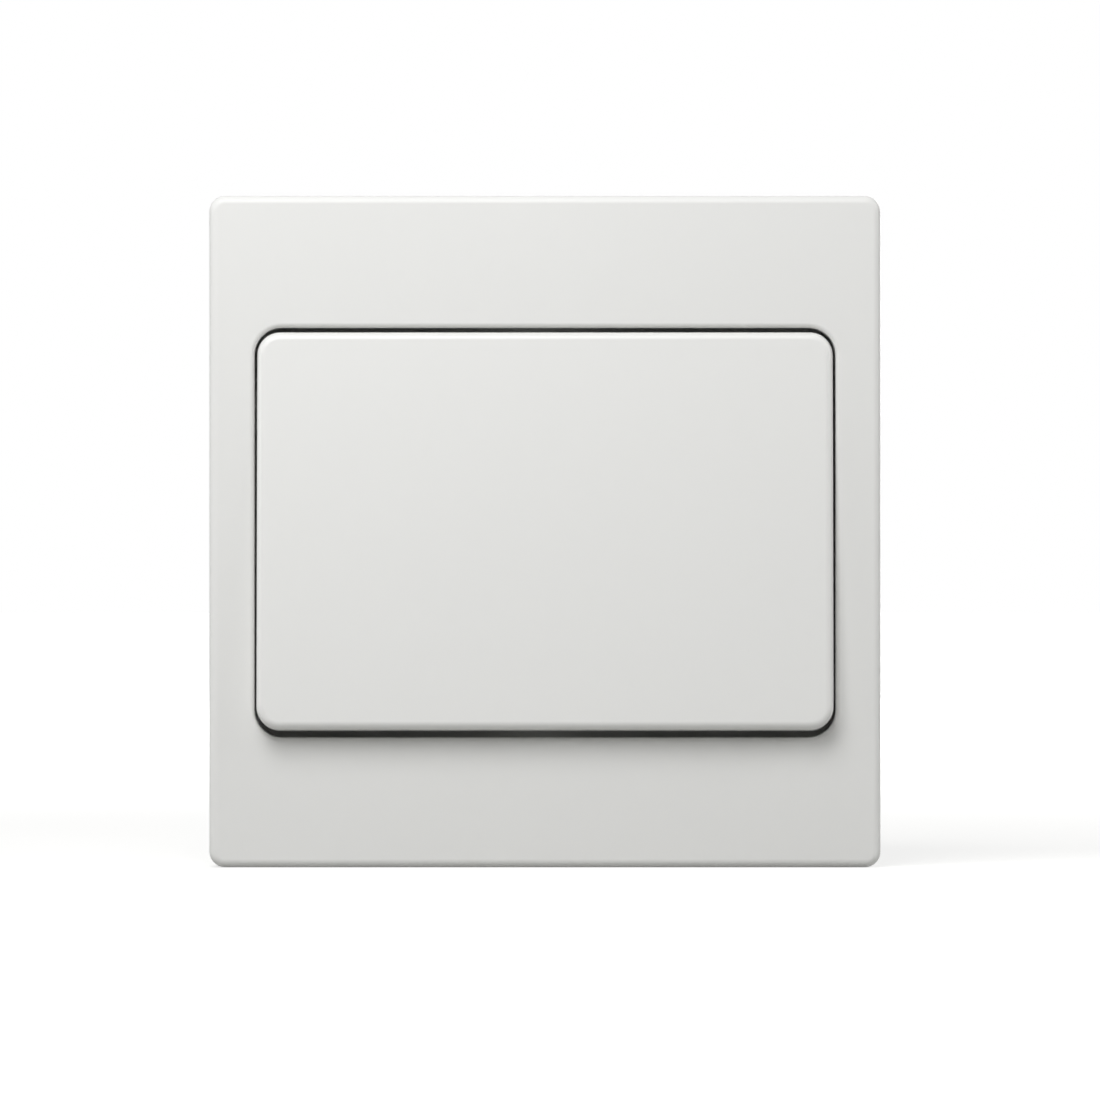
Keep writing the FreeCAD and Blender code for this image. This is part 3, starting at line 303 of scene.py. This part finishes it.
@dataclass(frozen=True)
class TurnedMetal(Finish):
    """Metal turned or coined to rings about its own axis, along Y, drawn coarser so that they show."""

    ring: float = 0.6
    ring_depth: float = 0.003
    ring_wobble: float = 0.4
    stain: float = 2.5
    stain_detail: float = 5.0

    def pattern(self, tree: bpy.types.NodeTree, shader: bpy.types.Node, spot: bpy.types.NodeSocket) -> None:
        """Adds stains to colour and gloss, and the tool's rings as relief.

        Args:
            tree: The material's node tree.
            shader: The shader that shows it.
            spot: The place in metres.
        """
        self.vary(tree, shader, self.noise(tree, spot, (self.stain,) * 3, self.stain_detail))
        middle = tuple(-one * MM for one in self.centre)
        local = add_node(tree, "ShaderNodeMapping", {"Location": middle}, {"Vector": spot})
        settings = {
            "wave_type": "RINGS",
            "rings_direction": "Y",
            "Scale": 2 * math.pi / (WAVE_RATE * self.ring * MM),
            "Distortion": self.ring_wobble,
        }
        rings = add_node(tree, "ShaderNodeTexWave", settings, {"Vector": local.outputs[0]})
        self.relief(tree, shader, rings.outputs["Fac"], self.ring_depth)


# Polycarbonate, satin moulded: a soft sheen with no sharp mirror image
PLATE = MouldedPlastic("polycarbonate_satin_moulded", "plate_white", "#E6E6E4", "#E4E4E2", 0.5)
# The button's mould is polished a little finer, so that its edges flash brighter
BUTTON = MouldedPlastic(
    "polycarbonate_fine_moulded", "button_white", "#E7E7E5", "#E5E5E3", 0.36, grain=0.25, grain_depth=0.002
)
# The frame is the same plastic from a plain mould: duller and a shade darker
FRAME = MouldedPlastic(
    "polycarbonate_plain_moulded", "frame_white", "#DFE0DD", "#D8D9D5", 0.5, roughness_spread=0.06
)
# Glass-filled polyamide, moulded: dull grey with pale fibre specks
HOUSING = FilledPlastic(
    "glass_filled_polyamide_moulded", "housing_grey", "#4A4C4E", "#3B3D3F", 0.55, roughness_spread=0.08
)
# Unfilled PBT, moulded: an even, slightly creamy white
LID = MouldedPlastic("pbt_moulded", "lid_white", "#D6D6D0", "#CECEC7", 0.45)
# Acetal, moulded: a waxy white, slick on its edges
ACETAL = MouldedPlastic("acetal_moulded", "acetal_white", "#E2E2DC", "#DCDCD5", 0.3, grain_depth=0.001)
# Music wire, drawn: cold grey with fine lines and tight, bright highlights
SPRING_STEEL = RolledMetal(
    "music_wire_drawn", "spring_steel", "#C9C9CC", "#A9AAAE", 0.28, metallic=1.0, line_length=2.0
)
# Copper strip, rolled and stamped: warm red with darker patches of tarnish
COPPER = RolledMetal("copper_strip_rolled", "copper", "#D98F6C", "#B86F4E", 0.32, metallic=1.0)
# Silver alloy, coined: the brightest metal here, ringed by its tool
SILVER = TurnedMetal("silver_alloy_coined", "silver", "#E6E3DD", "#CFCBC2", 0.26, metallic=1.0)
# Brass strip, rolled: yellow with lines up and down its length
BRASS_STRIP = RolledMetal("brass_strip_rolled", "brass", "#D8B569", "#BD9648", 0.33, metallic=1.0)
# Brass bar, sawn: duller, with coarser lines across
BRASS_BLOCK = RolledMetal(
    "brass_block_sawn", "brass", "#D4B064", "#B9934A", 0.36, metallic=1.0, line=0.2, along=0
)
# Steel, zinc plated: bluish and a little cloudy, with the thread roller's short lines
ZINC = RolledMetal(
    "steel_zinc_plated",
    "plated_steel",
    "#CDD2D8",
    "#B2B9C4",
    0.3,
    roughness_spread=0.08,
    metallic=1.0,
    line=0.25,
    line_length=0.8,
)


def cad(node: str) -> bpy.types.Object:
    """The object of a CAD node."""
    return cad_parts[node]


@cache
def made(finish: Finish) -> bpy.types.Material:
    """The material of a finish, built once."""
    return finish.make()


def dress(piece: bpy.types.Object, material: bpy.types.Material) -> None:
    """Gives a piece its one material.

    Args:
        piece: The piece.
        material: What covers all of it.
    """
    piece.data.materials.clear()
    piece.data.materials.append(material)


def dress_nodes(finish: Finish, *nodes: str) -> list[str]:
    """Gives CAD nodes one finish.

    Args:
        finish: The finish.
        nodes: The nodes' names.

    Returns:
        The same names, for the log.
    """
    for node in nodes:
        dress(cad(node), made(finish))
    return list(nodes)


def carve(piece: bpy.types.Object, cutter: bmesh.types.BMesh) -> None:
    """Cuts a body out of a piece for good.

    Args:
        piece: The piece, with a closed mesh.
        cutter: The closed body that is cut away, in metres; freed here.
    """
    mesh = bpy.data.meshes.new("cutter")
    bmesh.ops.recalc_face_normals(cutter, faces=cutter.faces)
    cutter.to_mesh(mesh)
    cutter.free()
    tool = bpy.data.objects.new("cutter", mesh)
    bpy.context.scene.collection.objects.link(tool)
    cut = piece.modifiers.new("cut", "BOOLEAN")
    cut.operation, cut.solver, cut.object = "DIFFERENCE", "EXACT", tool
    depsgraph = bpy.context.evaluated_depsgraph_get()
    whole = piece.data
    piece.data = bpy.data.meshes.new_from_object(piece.evaluated_get(depsgraph))
    piece.modifiers.clear()
    bpy.data.objects.remove(tool)
    bpy.data.meshes.remove(mesh)
    bpy.data.meshes.remove(whole)


def mesh_piece(
    name: str,
    bm: bmesh.types.BMesh,
    body: Body,
    finish: Finish,
    nodes: tuple[str, ...] = (),
    cutter: bmesh.types.BMesh | None = None,
) -> bpy.types.Object:
    """Makes a smooth piece from a bmesh, dresses it and lets it ride.

    Args:
        name: The piece's name.
        bm: Its mesh, in metres; freed here.
        body: The body that carries it.
        finish: Its finish.
        nodes: The CAD nodes that it stands for.
        cutter: A closed body that is cut out of it, in metres; freed here.

    Returns:
        The new object.
    """
    bmesh.ops.remove_doubles(bm, verts=bm.verts, dist=WELD_WITHIN * MM)
    bmesh.ops.recalc_face_normals(bm, faces=bm.faces)
    mesh = bpy.data.meshes.new(name)
    bm.to_mesh(mesh)
    bm.free()
    piece = bpy.data.objects.new(name, mesh)
    bpy.context.scene.collection.objects.link(piece)
    if cutter:
        carve(piece, cutter)
    piece.data.name = name
    piece.data.shade_smooth()
    piece.data.set_sharp_from_angle(angle=SHARP_FROM)
    dress(piece, made(finish))
    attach(piece, body.value)
    if nodes:
        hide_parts(*nodes)
    return piece


def bridge(bm: bmesh.types.BMesh, rings: list[list[bmesh.types.BMVert]], closed: bool = True) -> None:
    """Joins rings of the same number of points with quads.

    Args:
        bm: The mesh.
        rings: The rings in order.
        closed: Whether each ring joins its own ends.
    """
    for near, far in zip(rings, rings[1:]):
        count = len(near)
        for i in range(count if closed else count - 1):
            j = (i + 1) % count
            corners = [near[i], near[j], far[j], far[i]]
            if len(set(corners)) == 4:
                bm.faces.new(corners)


@dataclass(frozen=True)
class CoilSpring:
    """A compression spring of round wire with closed ends, wound about its own Z axis."""

    radius: float
    wire: float
    length: float
    turns: float
    closed_turns: float = 1.0
    closed_pitch: float = 1.03
    wire_sides: int = 10
    steps_a_turn: int = 40

    def height(self, turn: float) -> float:
        """How far up the wire's centre is after some turns.

        Args:
            turn: Turns from the foot.

        Returns:
            The height in millimetres.
        """
        low, high = self.wire / 2, self.length - self.wire / 2
        dead = self.closed_turns * self.wire * self.closed_pitch
        open_turns = self.turns - 2 * self.closed_turns
        if turn <= self.closed_turns:
            return low + dead * turn / self.closed_turns
        if turn >= self.turns - self.closed_turns:
            return high - dead * (self.turns - turn) / self.closed_turns
        part = (turn - self.closed_turns) / open_turns
        return low + dead + part * (high - low - 2 * dead)

    def build(self, place: Matrix) -> bmesh.types.BMesh:
        """Sweeps the wire round the coil.

        Args:
            place: Where the spring's foot and axis are, in metres.

        Returns:
            The spring's mesh.
        """
        bm = bmesh.new()
        count = round(self.turns * self.steps_a_turn)
        middle = (self.radius - self.wire / 2) * MM
        rings = []
        for k in range(count + 1):
            turn = self.turns * k / count
            angle = 2 * math.pi * turn
            out = Vector((math.cos(angle), math.sin(angle), 0))
            centre = out * middle + Vector((0, 0, self.height(turn) * MM))
            ring = []
            for side in range(self.wire_sides):
                a = 2 * math.pi * side / self.wire_sides
                spoke = out * math.cos(a) + Vector((0, 0, math.sin(a)))
                ring.append(bm.verts.new(place @ (centre + spoke * (self.wire / 2 * MM))))
            rings.append(ring)
        bridge(bm, rings)
        bm.faces.new(rings[0])
        bm.faces.new(rings[-1])
        return bm


def standing(across: float = 0.0, out: float = 0.0, up: float = 0.0, tilt: float = 0.0) -> Matrix:
    """The place of a piece that is drawn lying down, with its Z axis out of the wall.

    Args:
        across: Its place to the right in millimetres.
        out: Its height out of the wall in millimetres.
        up: Its place up in millimetres.
        tilt: Its turn about X in radians.

    Returns:
        The matrix that stands it up, in metres.
    """
    spot = Matrix.Translation(Vector((across, -out, up)) * MM)
    return spot @ Matrix.Rotation(math.radians(90) + tilt, 4, "X")


@dataclass
class Threads:
    """An outside thread, as one helical strip that runs out to its core at both ends.

    The profile gives points along one pitch: their share of the pitch and of the thread's depth.
    """

    radius: float
    pitch: float
    low: float
    high: float
    depth: float
    sides: int = 40
    profile: tuple[tuple[float, float], ...] = (
        (0.0, 1.0), (0.12, 1.0), (0.42, 0.0), (0.58, 0.0), (0.88, 1.0)
    )

    @property
    def core(self) -> float:
        """The radius at the thread's root."""
        return self.radius - self.depth

    def build(self, bm: bmesh.types.BMesh, place: Matrix) -> None:
        """Adds the thread's surface.

        Args:
            bm: The mesh.
            place: The screw's place, with Z along the thread.
        """
        turns = math.ceil((self.high - self.low) / self.pitch) + 1
        rows = []
        for step in range(turns * len(self.profile) + 1):
            lap, point = divmod(step, len(self.profile))
            share, deep = self.profile[point]
            row = []
            for side in range(self.sides + 1):
                turn = side / self.sides
                height = self.low + (lap - 1 + share + turn) * self.pitch
                run_out = min(1.0, (height - self.low) / self.pitch, (self.high - height) / self.pitch)
                radius = self.core + (1.0 - deep) * self.depth * max(0.0, run_out)
                height = min(max(height, self.low), self.high)
                angle = 2 * math.pi * turn
                spot = Vector((radius * math.cos(angle), radius * math.sin(angle), height)) * MM
                row.append(bm.verts.new(place @ spot))
            rows.append(row)
        bridge(bm, rows, closed=False)


@dataclass
class Turning:
    """A solid of revolution about Z from a half outline."""

    sides: int = 40

    def build(
        self, bm: bmesh.types.BMesh, place: Matrix, outline: list[tuple[float, float]]
    ) -> list[list[bmesh.types.BMVert]]:
        """Adds the turned surface.

        Args:
            bm: The mesh.
            place: The piece's place, with Z along its axis.
            outline: Radius and height of each point in millimetres.

        Returns:
            The rings of points, one for each point of the outline.
        """
        rings = []
        for radius, height in outline:
            ring = []
            for side in range(self.sides):
                angle = 2 * math.pi * side / self.sides
                spot = Vector((radius * math.cos(angle), radius * math.sin(angle), height)) * MM
                ring.append(bm.verts.new(place @ spot))
            rings.append(ring)
        bridge(bm, rings)
        return rings


@dataclass(frozen=True)
class DriverRecess:
    """The recess for a screwdriver, as the body that is cut away; its arms narrow towards the bottom."""

    drive: Drive
    span: float
    width: float
    depth: float
    floor_share: float = 1.0

    def outline(self, share: float) -> list[tuple[float, float]]:
        """The recess's outline at one depth.

        Args:
            share: Its size there, as a share of its size at the mouth.

        Returns:
            The points in order, in millimetres.
        """
        reach, side = self.span / 2 * share, self.width / 2 * share
        arm = [Vector((reach, -side)), Vector((reach, side))]
        if self.drive is Drive.CROSS:
            arm.append(Vector((side, side)))
        points = []
        for k in range(self.drive.value):
            turn = Matrix.Rotation(2 * math.pi * k / self.drive.value, 2)
            points += [tuple(turn @ point) for point in arm]
        return points

    def build(self, place: Matrix, mouth: float) -> bmesh.types.BMesh:
        """Makes the body that is cut away.

        Args:
            place: The screw's place, with Z towards the driver.
            mouth: The height of the recess's mouth in millimetres.

        Returns:
            The closed body.
        """
        bm = bmesh.new()
        # The body stands proud of the mouth, so that no face of it lies in the screw's own
        over = self.depth / 2
        flare = 1.0 + (1.0 - self.floor_share) * over / self.depth
        rings = []
        for height, share in ((mouth + over, flare), (mouth - self.depth, self.floor_share)):
            spots = [Vector((x, y, height)) * MM for x, y in self.outline(share)]
            rings.append([bm.verts.new(place @ spot) for spot in spots])
        bridge(bm, rings)
        bm.faces.new(rings[0])
        bm.faces.new(rings[-1])
        return bm


@dataclass
class CoverAndButton:
    """The clip-on cover and the tilting button, the two pieces that the photo shows."""

    def dress(self) -> list[str]:
        """Dresses both."""
        return dress_nodes(PLATE, "cover_plate") + dress_nodes(BUTTON, "button")


@dataclass
class MountingFrame:
    """The frame on the wall with its two fixing screws."""

    seat_out: float = 2.4
    radius: float = 1.75
    pitch: float = 0.6
    thread_depth: float = 0.36
    point: float = 0.6
    point_narrowing: float = 0.3
    neck_radius: float = 1.5
    neck_length: float = 2.5
    head_radius: float = 3.5
    head_height: float = 2.3
    head_round: float = 1.4
    head_round_steps: int = 6
    head_edge: float = 0.1
    recess: DriverRecess = DriverRecess(Drive.CROSS, span=3.6, width=0.9, depth=1.4, floor_share=0.6)

    def build(self) -> list[str]:
        """Dresses the frame and builds the screws."""
        screws = [self.screw(node).name for node in ("fixing_screw_left", "fixing_screw_right")]
        return dress_nodes(FRAME, "mounting_frame") + screws

    def screw(self, node: str) -> bpy.types.Object:
        """Builds a fixing screw with its thread, neck, pan head and cross recess.

        Args:
            node: The CAD node that it stands for.

        Returns:
            The screw.
        """
        low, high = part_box(node)
        place = standing(across=(low[0] + high[0]) / 2 / MM, out=self.seat_out)
        tip = -self.seat_out - high[1] / MM
        bm = bmesh.new()
        thread = Threads(self.radius, self.pitch, tip + self.point, -self.neck_length, self.thread_depth)
        thread.build(bm, place)
        bow = []
        for step in range(self.head_round_steps + 1):
            angle = math.pi / 2 * step / self.head_round_steps
            radius = self.head_radius - self.head_round * (1 - math.cos(angle))
            bow.append((radius, self.head_height - self.head_round * (1 - math.sin(angle))))
        turning = Turning(thread.sides)
        point = turning.build(
            bm, place, [(thread.core - self.point_narrowing, tip), (thread.core, thread.low)]
        )
        outline = [(thread.core, thread.high), (self.neck_radius, thread.high), (self.neck_radius, 0)]
        outline += [(self.head_radius - self.head_edge, 0), (self.head_radius, self.head_edge), *bow]
        head = turning.build(bm, place, outline)
        bm.faces.new(point[0])
        bm.faces.new(head[-1])
        cutter = self.recess.build(place, self.head_height)
        return mesh_piece(f"{node}_threaded", bm, Body.SWITCH, ZINC, (node,), cutter)


@dataclass
class Mechanism:
    """The grey housing behind the wall and its lid."""

    def dress(self) -> list[str]:
        """Dresses the housing and the lid."""
        return dress_nodes(HOUSING, "mechanism_base") + dress_nodes(LID, "mechanism_lid")


@dataclass
class Action:
    """The cradle under the button, its plunger and the two springs.

    return_foot is how far out of the wall the return spring's foot stands, and plunger_foot how far
    along the stem from the pivot the plunger spring's does. Each keep is the share of its length that
    a spring keeps at its joint's limit; neither keep is used here.
    """

    return_coil: CoilSpring = CoilSpring(radius=2.2, wire=0.45, length=8.62, turns=6.5)
    return_place: float = 8.4
    return_foot: float = -1.95
    return_keep: float = 0.87
    plunger_coil: CoilSpring = CoilSpring(radius=1.35, wire=0.3, length=7.4, turns=9.0)
    plunger_foot: float = -8.95
    plunger_keep: float = 0.89

    def build(self) -> list[str]:
        """Dresses the cradle and the plunger, and winds the springs."""
        springs = [self.return_spring().name, self.plunger_spring().name]
        return dress_nodes(ACETAL, "dolly", "plunger") + springs

    def return_spring(self) -> bpy.types.Object:
        """Winds the spring that brings the button back.

        Returns:
            The spring.
        """
        bm = self.return_coil.build(standing(out=self.return_foot, up=-self.return_place))
        piece = mesh_piece("return_spring_coil", bm, Body.SWITCH, SPRING_STEEL, ("return_spring",))
        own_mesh(piece)
        return piece

    def plunger_spring(self) -> bpy.types.Object:
        """Winds the spring behind the plunger.

        Returns:
            The spring.
        """
        place = standing(out=PIVOT_OUT, tilt=-REST_TILT) @ Matrix.Translation((0, 0, self.plunger_foot * MM))
        bm = self.plunger_coil.build(place)
        piece = mesh_piece("plunger_spring_coil", bm, Body.ROCKER, SPRING_STEEL, ("plunger_spring",))
        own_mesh(piece)
        return piece


@dataclass
class Contacts:
    """The see-saw, the brass strips, the terminals with their screws, and the silver rivets."""

    screw_pitch: float = 0.6
    thread_depth: float = 0.34
    screw_chamfer: float = 0.3
    screw_collar: float = 0.3
    slot: DriverRecess = DriverRecess(Drive.SLOT, span=5.0, width=0.8, depth=1.0)

    def build(self) -> list[str]:
        """Dresses every current-carrying piece and builds the terminal screws.

        Returns:
            The names of its pieces.
        """
        names = dress_nodes(COPPER, "contact_rocker")
        names += dress_nodes(BRASS_STRIP, "fixed_contact", "fulcrum_strip")
        names += dress_nodes(BRASS_BLOCK, "terminal_upper", "terminal_lower")
        for node in ("moving_contact_tip", "fixed_contact_tip"):
            low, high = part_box(node)
            middle = tuple((a + b) / 2 / MM for a, b in zip(low, high))
            names += dress_nodes(replace(SILVER, centre=middle), node)
        return names + [self.screw(node).name for node in ("terminal_screw_upper", "terminal_screw_lower")]

    def screw(self, node: str) -> bpy.types.Object:
        """Builds a terminal's grub screw with its thread and driver slot.

        Args:
            node: The CAD node that it stands for.

        Returns:
            The screw.
        """
        low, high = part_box(node)
        across, up = (low[0] + high[0]) / 2 / MM, (low[2] + high[2]) / 2 / MM
        radius, length = (high[0] - low[0]) / 2 / MM, (high[1] - low[1]) / MM
        place = standing(across=across, out=-high[1] / MM, up=up) @ Matrix.Rotation(math.pi, 4, "X")
        bm = bmesh.new()
        bottom, top = self.screw_chamfer - length, -self.screw_chamfer - self.screw_collar
        thread = Threads(radius, self.screw_pitch, bottom, top, self.thread_depth)
        thread.build(bm, place)
        turning = Turning(thread.sides)
        point = turning.build(bm, place, [(thread.core - self.screw_chamfer, -length), (thread.core, bottom)])
        collar = [(thread.core, top), (radius, top), (radius, -self.screw_chamfer)]
        end = turning.build(bm, place, [*collar, (radius - self.screw_chamfer, 0)])
        bm.faces.new(point[0])
        bm.faces.new(end[-1])
        return mesh_piece(f"{node}_threaded", bm, Body.SWITCH, ZINC, (node,), self.slot.build(place, 0.0))


@dataclass(frozen=True)
class Softbox:
    """A square lamp that faces the switch: its place and side in metres, its power in watts."""

    name: str
    place: tuple[float, float, float]
    side: float
    power: float

    def hang(self) -> None:
        """Adds the lamp, out of the camera's sight."""
        data = bpy.data.lights.new(self.name, "AREA")
        data.size, data.energy = self.side, self.power
        lamp = bpy.data.objects.new(self.name, data)
        bpy.context.scene.collection.objects.link(lamp)
        lamp.location = self.place
        lamp.rotation_euler = (-lamp.location).to_track_quat("-Z", "Y").to_euler()
        lamp.visible_camera = False


# The key hangs above and a little to the left, as in the photo; the last one only lights the rear
SOFTBOXES = (
    Softbox("key_softbox", (-0.08, -0.24, 0.235), 0.2, 0.945),
    Softbox("left_softbox", (-0.45, -0.1, 0.1), 0.3, 0.36),
    Softbox("right_softbox", (0.45, -0.12, 0.2), 0.3, 0.6),
    Softbox("back_softbox", (0.4, 1.0, 0.15), 0.6, 11.0),
)


@dataclass
class Studio:
    """Camera at the photo's place, soft lamps, white surroundings and a pale floor.

    The camera's sizes are in millimetres. The floor's side, the camera's limits of sight and the
    distances of the floor's glow are in metres.
    """

    camera_x: float = 0.64
    camera_z: float = -2.37
    distance: float = 1000.0
    view_width: float = 140.8
    plate_out: float = 8.5
    sensor: float = 36.0
    clip_near: float = 0.01
    clip_far: float = 20.0
    floor_size: float = 8.0
    floor_gap: float = 0.05
    floor_paint: str = "#B0B0AE"
    floor_glow: float = 0.65
    glow_full_from: float = 0.05
    glow_full_at: float = 0.6
    world_level: float = 0.18

    def build(self) -> list[str]:
        """Sets up everything that isn't the switch.

        Returns:
            What it set up.
        """
        self.camera()
        for softbox in SOFTBOXES:
            softbox.hang()
        self.world()
        self.floor()
        bpy.context.scene.view_settings.view_transform = "Standard"
        return ["camera", "lamps", "world", "floor"]

    def camera(self) -> None:
        """Places the camera where the photo was taken from."""
        data = bpy.data.cameras.new("camera")
        data.sensor_width = self.sensor
        data.lens = self.sensor * self.distance / self.view_width
        data.clip_start, data.clip_end = self.clip_near, self.clip_far
        camera = bpy.data.objects.new("camera", data)
        bpy.context.scene.collection.objects.link(camera)
        camera.location = Vector((self.camera_x, -self.distance - self.plate_out, self.camera_z)) * MM
        camera.rotation_euler = (math.radians(90), 0, 0)
        bpy.context.scene.camera = camera

    def seen(self, tree: bpy.types.NodeTree) -> bpy.types.NodeSocket:
        """A mask that is one where the camera, a mirror image or glass shows the background.

        Args:
            tree: The node tree that gets it.

        Returns:
            The mask.
        """
        path = add_node(tree, "ShaderNodeLightPath", {}).outputs
        mask = path["Is Camera Ray"]
        for kind in ("Is Glossy Ray", "Is Transmission Ray"):
            links = {0: mask, 1: path[kind]}
            mask = add_node(tree, "ShaderNodeMath", {"operation": "MAXIMUM"}, links).outputs[0]
        return mask

    def world(self) -> None:
        """Makes the even white surroundings."""
        world = bpy.data.worlds.new("studio_white")
        world.use_nodes = True
        tree = world.node_tree
        tree.nodes.clear()
        light, white = (
            add_node(tree, "ShaderNodeBackground", {"Color": linear(WHITE), "Strength": strength})
            for strength in (self.world_level, 1.0)
        )
        links = {0: self.seen(tree), 1: light.outputs[0], 2: white.outputs[0]}
        both = add_node(tree, "ShaderNodeMixShader", {}, links)
        add_node(tree, "ShaderNodeOutputWorld", {}, {"Surface": both.outputs[0]})
        bpy.context.scene.world = world

    def glow(self, tree: bpy.types.NodeTree) -> bpy.types.NodeSocket:
        """The white that the floor shows on its own: part of it near the switch, all of it further off.

        Args:
            tree: The floor's node tree.

        Returns:
            The glow's strength.
        """
        spot = add_node(tree, "ShaderNodeTexCoord", {}).outputs["Object"]
        away = add_node(tree, "ShaderNodeVectorMath", {"operation": "LENGTH"}, {0: spot}).outputs["Value"]
        span = {
            "From Min": self.glow_full_from,
            "From Max": self.glow_full_at,
            "To Min": self.floor_glow,
            "To Max": 1.0,
            "interpolation_type": "SMOOTHERSTEP",
        }
        level = add_node(tree, "ShaderNodeMapRange", span, {"Value": away}).outputs["Result"]
        links = {0: self.seen(tree), 1: level}
        return add_node(tree, "ShaderNodeMath", {"operation": "MULTIPLY"}, links).outputs[0]

    def floor(self) -> None:
        """Lays the pale floor under the plate's lower edge. It keeps a faint shadow, and from below
        it is seen through.
        """
        half = self.floor_size / 2
        level = cad_box[0].z - self.floor_gap * MM
        mesh = bpy.data.meshes.new("floor")
        corners = [(-half, -half, level), (half, -half, level), (half, half, level), (-half, half, level)]
        mesh.from_pydata(corners, [], [(0, 1, 2, 3)])
        floor = bpy.data.objects.new("floor", mesh)
        bpy.context.scene.collection.objects.link(floor)
        material = bpy.data.materials.new("floor_matt_paint")
        material.use_nodes = True
        tree = material.node_tree
        tree.nodes.clear()
        paint = add_node(tree, "ShaderNodeBsdfDiffuse", {"Color": linear(self.floor_paint)})
        white = add_node(tree, "ShaderNodeEmission", {"Color": linear(WHITE)}, {"Strength": self.glow(tree)})
        both = add_node(tree, "ShaderNodeAddShader", {}, {0: paint.outputs[0], 1: white.outputs[0]})
        clear = add_node(tree, "ShaderNodeBsdfTransparent", {})
        below = add_node(tree, "ShaderNodeNewGeometry", {}).outputs["Backfacing"]
        links = {0: below, 1: both.outputs[0], 2: clear.outputs[0]}
        sides = add_node(tree, "ShaderNodeMixShader", {}, links)
        add_node(tree, "ShaderNodeOutputMaterial", {}, {"Surface": sides.outputs[0]})
        dress(floor, material)


def main() -> None:
    """Builds and dresses the switch, piece by piece, and sets up the studio."""
    logging.basicConfig(level=logging.INFO, format="%(name)s: %(message)s")
    steps: list[Callable[[], list[str]]] = [
        Studio().build,
        CoverAndButton().dress,
        MountingFrame().build,
        Mechanism().dress,
        Action().build,
        Contacts().build,
    ]
    for step in steps:
        for name in step():
            log.info("made %s", name)


if __name__ == "__main__":
    main()
